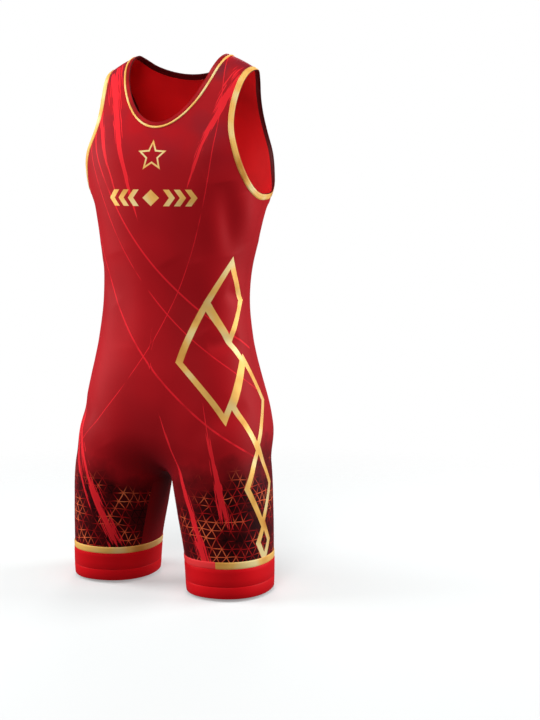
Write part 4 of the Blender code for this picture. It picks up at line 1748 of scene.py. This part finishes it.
# %% One stitch
STITCH_WIDTH = 0.0005
STITCH_LENGTH = 0.0020
STITCH_PITCH = 0.0027


def one_stitch():
    """A grain of thread around the origin, long in X, as its points and faces."""
    bpy.ops.object.select_all(action="DESELECT")
    bpy.ops.mesh.primitive_uv_sphere_add(segments=6, ring_count=4, radius=0.5)
    grain = bpy.context.object
    bpy.ops.object.mode_set(mode="EDIT")
    bpy.ops.mesh.select_all(action="SELECT")
    bpy.ops.transform.resize(value=(STITCH_LENGTH, STITCH_WIDTH, STITCH_WIDTH))
    bpy.ops.object.mode_set(mode="OBJECT")
    points = np.array([point.co for point in grain.data.vertices])
    faces = [tuple(face.vertices) for face in grain.data.polygons]
    bpy.data.objects.remove(grain)
    return points, faces


STITCH_POINTS, STITCH_FACES = one_stitch()
print("faces of a stitch:", len(STITCH_FACES))

# %% [markdown]
# Each stitch is turned to lie flat on the cloth, along its row. All rows of one kind become one
# mesh, which is much lighter than an object for every stitch.


# %% A row of stitches
def stitch_places(line, outward):
    """Centre, way along, way across and way out of each stitch of a row."""
    length = lengths_along(line)
    where = np.arange(STITCH_PITCH / 2, length[-1], STITCH_PITCH)

    def on_line(values, shift=0.0):
        return np.stack([np.interp(where + shift, length, column) for column in values.T], axis=-1)

    centre = on_line(line)
    ahead = unit(on_line(line, STITCH_LENGTH / 2) - on_line(line, -STITCH_LENGTH / 2))
    out = unit(on_line(outward))
    across = unit(np.cross(out, ahead))
    return centre, ahead, across, np.cross(ahead, across)


def stitching(name, rows, finish):
    """All the stitches of some rows as one mesh. A row is a line of points and its outward ways."""
    points, faces = [], []
    for line, outward in rows:
        for centre, *ways in zip(*stitch_places(line, outward)):
            first = len(points) * len(STITCH_POINTS)
            points.append(centre + STITCH_POINTS @ np.array(ways))
            faces += [tuple(first + corner for corner in face) for face in STITCH_FACES]
    mesh = bpy.data.meshes.new(name)
    mesh.from_pydata(np.concatenate(points).tolist(), [], faces)
    piece = bpy.data.objects.new(name, mesh)
    bpy.context.collection.objects.link(piece)
    finished(piece, finish)
    mesh.shade_smooth()
    return piece


print("stitches to ten centimetres:", round(0.1 / STITCH_PITCH))

# %% [markdown]
# The thread matches what it sews: gold on the armholes, red on the panels and the cuffs, and maroon
# on the neck and the crotch strip.

# %% Thread
TWIST = (900.0, 0.4, 0.6)


def thread(name, light, dark):
    """Twisted thread: two tones in fine patches."""
    material, tree, shader = new_finish(name)
    feed(shader.inputs["Base Color"], paint(patches(on_object(tree), *TWIST), dark, light))
    satin(shader, 0.5, 0.2)
    return material


GOLD_THREAD = thread("gold thread", (0.80, 0.52, 0.14), (0.45, 0.27, 0.06))
RED_THREAD = thread("red thread", (0.50, 0.006, 0.010), (0.34, 0.004, 0.007))
DARK_THREAD = thread("maroon thread", (0.12, 0.003, 0.005), (0.07, 0.002, 0.003))
print("threads:", GOLD_THREAD.name, RED_THREAD.name, DARK_THREAD.name)

# %% [markdown]
# Rows on the tapes stand as high as the tape's face. Rows on the panels sink a little into the
# cloth, as a stitch pulls it in.

# %% Where the rows run
THREAD_SINK = 0.0001


def row_on(along, turn, side, rise):
    """A line for stitches on the dressed form, with its outward ways."""
    points, normals = form(along, turn), form_normal(along, turn)
    return dressed(points, normals, side, np.full(points.shape[:-1], rise)), normals * (side, 1, 1)


def edge_rows(edge, steps, insets, sides, rise):
    return [row_on(*edge_path(edge, steps, inset), side, rise) for inset in insets for side in sides]


def leg_rows(lines, side):
    """Rows once round a leg. A line is its depth and its height off the form."""
    rows = []
    for down, rise in lines:
        along, turn = leg_path(np.array([down]))
        rows.append(row_on(along[:, 0], turn[:, 0], side, rise))
    return rows


def strip_rows(inset):
    """Rows beside both long edges of the crotch strip, on both legs."""
    rows = []
    for fore in (inset, 1 - inset):
        points = gusset_form(fore, np.arange(1.0, ARCH_STEPS + LEG_STEPS + 1))
        normals = field_normal(points)
        for side in (LEFT, RIGHT):
            skin = dressed(points, normals, side, np.full(len(points), -THREAD_SINK))
            rows.append((skin, normals * (side, 1, 1)))
    return rows


def seam_rows(face, apart):
    """Two rows beside each side seam, on one panel's edge."""
    down = np.linspace(ARMHOLE_DOWN + ARMHOLE_BINDING_WIDTH, CUFF_TOP_DOWN - STRIPE_WIDTH, SAMPLES)
    along = along_of(face, down)
    turn = np.pi / 2 - apart / ((at(BODY, "back", down) - at(BODY, "front", down)) / 2)
    return [row_on(along, turn, side, -THREAD_SINK) for side in (LEFT, RIGHT)]


print("rows on the panels sink by", THREAD_SINK, "m")

# %% [markdown]
# The rows keep a few millimetres from the edges that they hold, as the foot of a sewing machine
# does. Left and right are sewn apart where the pieces are apart.

# %% Sew the rows
ARMHOLE_INSETS = (0.0030, 0.0080)
ARMHOLE_RISE = 0.0010
NECK_INSETS = (0.0050,)
NECK_RISE = 0.0008
SEAM_APART = 0.0024
STRIP_INSET = 0.03
# Cuff lines: depth, and height off the form
CUFF_LINES = ((0.8174, 0.0009), (0.8439, 0.0005))

armhole_stitches = []
for word, side in SIDES.items():
    rows = edge_rows(*ARMHOLE, ARMHOLE_INSETS, (side,), ARMHOLE_RISE)
    armhole_stitches.append(stitching(f"armhole_stitches_{word}", rows, GOLD_THREAD))
rows = edge_rows(*NECK, NECK_INSETS, (LEFT, RIGHT), NECK_RISE)
neck_stitches = stitching("neck_stitches", rows, DARK_THREAD)
rows = seam_rows(FRONT, SEAM_APART) + seam_rows(BACK, SEAM_APART)
side_stitches = stitching("side_stitches", rows, RED_THREAD)
cuff_stitches = []
for word, side in SIDES.items():
    cuff_stitches.append(stitching(f"cuff_stitches_{word}", leg_rows(CUFF_LINES, side), RED_THREAD))
strip_stitches = stitching("strip_stitches", strip_rows(STRIP_INSET), DARK_THREAD)
print("stitches on the left armhole:", len(armhole_stitches[0].data.vertices) // len(STITCH_POINTS))

# %% [markdown]
# ## Ride and replace
#
# Every new piece stands for its solid of the imported model and rides on the one body. A panel's
# size is read from its UV map, which holds its lengths across and down, and a tape's is half its way
# round by its length, as one layer. These sizes are worked out, but nothing more is done with them.


def flat_map(piece):
    """The range of a piece's flat map, across and down."""
    layer = piece.data.uv_layers["cloth"]
    flat = np.empty(2 * len(layer.data))
    layer.data.foreach_get("uv", flat)
    return np.ptp(flat.reshape(-1, 2), axis=0)


def declare_panel(piece):
    width, length = (round(float(size), 3) for size in flat_map(piece))


def declare_tape(piece):
    half_girth = float(flat_map(piece)[0]) / 2


# %% [markdown]
# Thread has no solid of its own in the imported model, so it only rides on the body.


# %% Hand the pieces to the frame
def hand_over_thread(piece):
    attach(piece, "root")


def hand_over(piece, node):
    hand_over_thread(piece)
    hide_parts(node)


hand_over(front_cloth, "front_panel")
hand_over(back_cloth, "back_panel")
hand_over(crotch_cloth, "crotch_gusset")
hand_over(neck_band, "neck_binding")
hand_over(piping, "neck_piping")
hand_over_thread(side_stitches)
hand_over_thread(strip_stitches)
hand_over_thread(neck_stitches)
declare_panel(front_cloth)
declare_panel(back_cloth)
declare_panel(crotch_cloth)
declare_tape(neck_band)
for index, word in enumerate(SIDES):
    hand_over(armhole_bands[index], f"armhole_binding_{word}")
    hand_over(stripes[index], f"cuff_stripe_{word}")
    hand_over(cuffs[index], f"cuff_{word}")
    hand_over_thread(armhole_stitches[index])
    hand_over_thread(cuff_stitches[index])
    declare_tape(armhole_bands[index])
    declare_tape(stripes[index])
    declare_tape(cuffs[index])

# %% [markdown]
# ## Floor and light
#
# The garment stands over a plain pale floor. Two large soft lights at the sides make its edges
# bright, as in a studio, and weaker ones in front and above show the print. The floor gives some
# light of its own, so that it stays white where the garment shades it, and it fades into the
# white around it.

# %% Floor
FLOOR_SIZE = 3.0
FLOOR_GAP = 0.0045
FLOOR_GREY = (0.58, 0.61, 0.61)
FLOOR_GLOW = 0.3
# The floor's fade: solid up to this far from its middle, gone from there on, and both shares
FLOOR_FADE = (0.25, 1.2, 1.0, 0.0)

bpy.ops.object.select_all(action="DESELECT")
bpy.ops.mesh.primitive_plane_add(size=FLOOR_SIZE, location=(0, 0, -HEM_DOWN - FLOOR_GAP))
floor = bpy.context.object
floor.name = "floor"
floor.visible_diffuse = False
floor.visible_glossy = False
pale, tree, shader = new_finish("pale floor")
feed(shader.inputs["Base Color"], FLOOR_GREY)
feed(shader.inputs["Roughness"], 0.9)
feed(shader.inputs["Specular IOR Level"], 0.0)
feed(shader.inputs["Emission Color"], (1, 1, 1))
feed(shader.inputs["Emission Strength"], FLOOR_GLOW)
feed(shader.inputs["Alpha"], ramp(from_zero(*parts_of(on_object(tree))), *FLOOR_FADE))
floor.data.materials.append(pale)
print("floor at", round(floor.location.z, 4))

# %% [markdown]
# The lights are large squares, because small ones would draw hard gleams on satin. The camera sees
# a white world, and everything else gets only a little of the world's light.

# %% Lights
TARGET = Vector((0, BODY_AXIS_Y, -0.42))
WORLD_LIGHT = 0.12
# Lights: name, azimuth in degrees, distance, height over the target, size, power
LIGHTS = (
    ("left_side", -72, 1.7, 0.5, 1.2, 30),
    ("right_side", 118, 1.7, 0.4, 1.2, 29),
    ("front", 10, 2.6, 1.5, 1.0, 25),
    ("back", 200, 2.6, 1.3, 1.0, 21),
    ("top", 24, 0.5, 1.9, 0.8, 15),
)


def soft_light(name, azimuth, distance, height, size, power):
    """A large square light that faces the garment. Azimuth 0 is in front of the wearer."""
    angle = np.radians(azimuth)
    light = bpy.data.lights.new(name, "AREA")
    light.shape = "SQUARE"
    light.size = size
    light.energy = power
    lamp = bpy.data.objects.new(name, light)
    lamp.location = TARGET + Vector((np.sin(angle) * distance, -np.cos(angle) * distance, height))
    lamp.rotation_euler = (TARGET - lamp.location).to_track_quat("-Z", "Y").to_euler()
    bpy.context.collection.objects.link(lamp)


for row in LIGHTS:
    soft_light(*row)

world = bpy.data.worlds.new("white studio")
world.use_nodes = True
tree = world.node_tree
backdrop = tree.nodes["Background"]
feed(backdrop.inputs["Color"], (1, 1, 1))
seen = add(tree, "LightPath")
feed(backdrop.inputs["Strength"], ramp(seen, 0.0, 1.0, WORLD_LIGHT, 1.0))
bpy.context.scene.world = world
bpy.context.scene.view_settings.view_transform = "Standard"
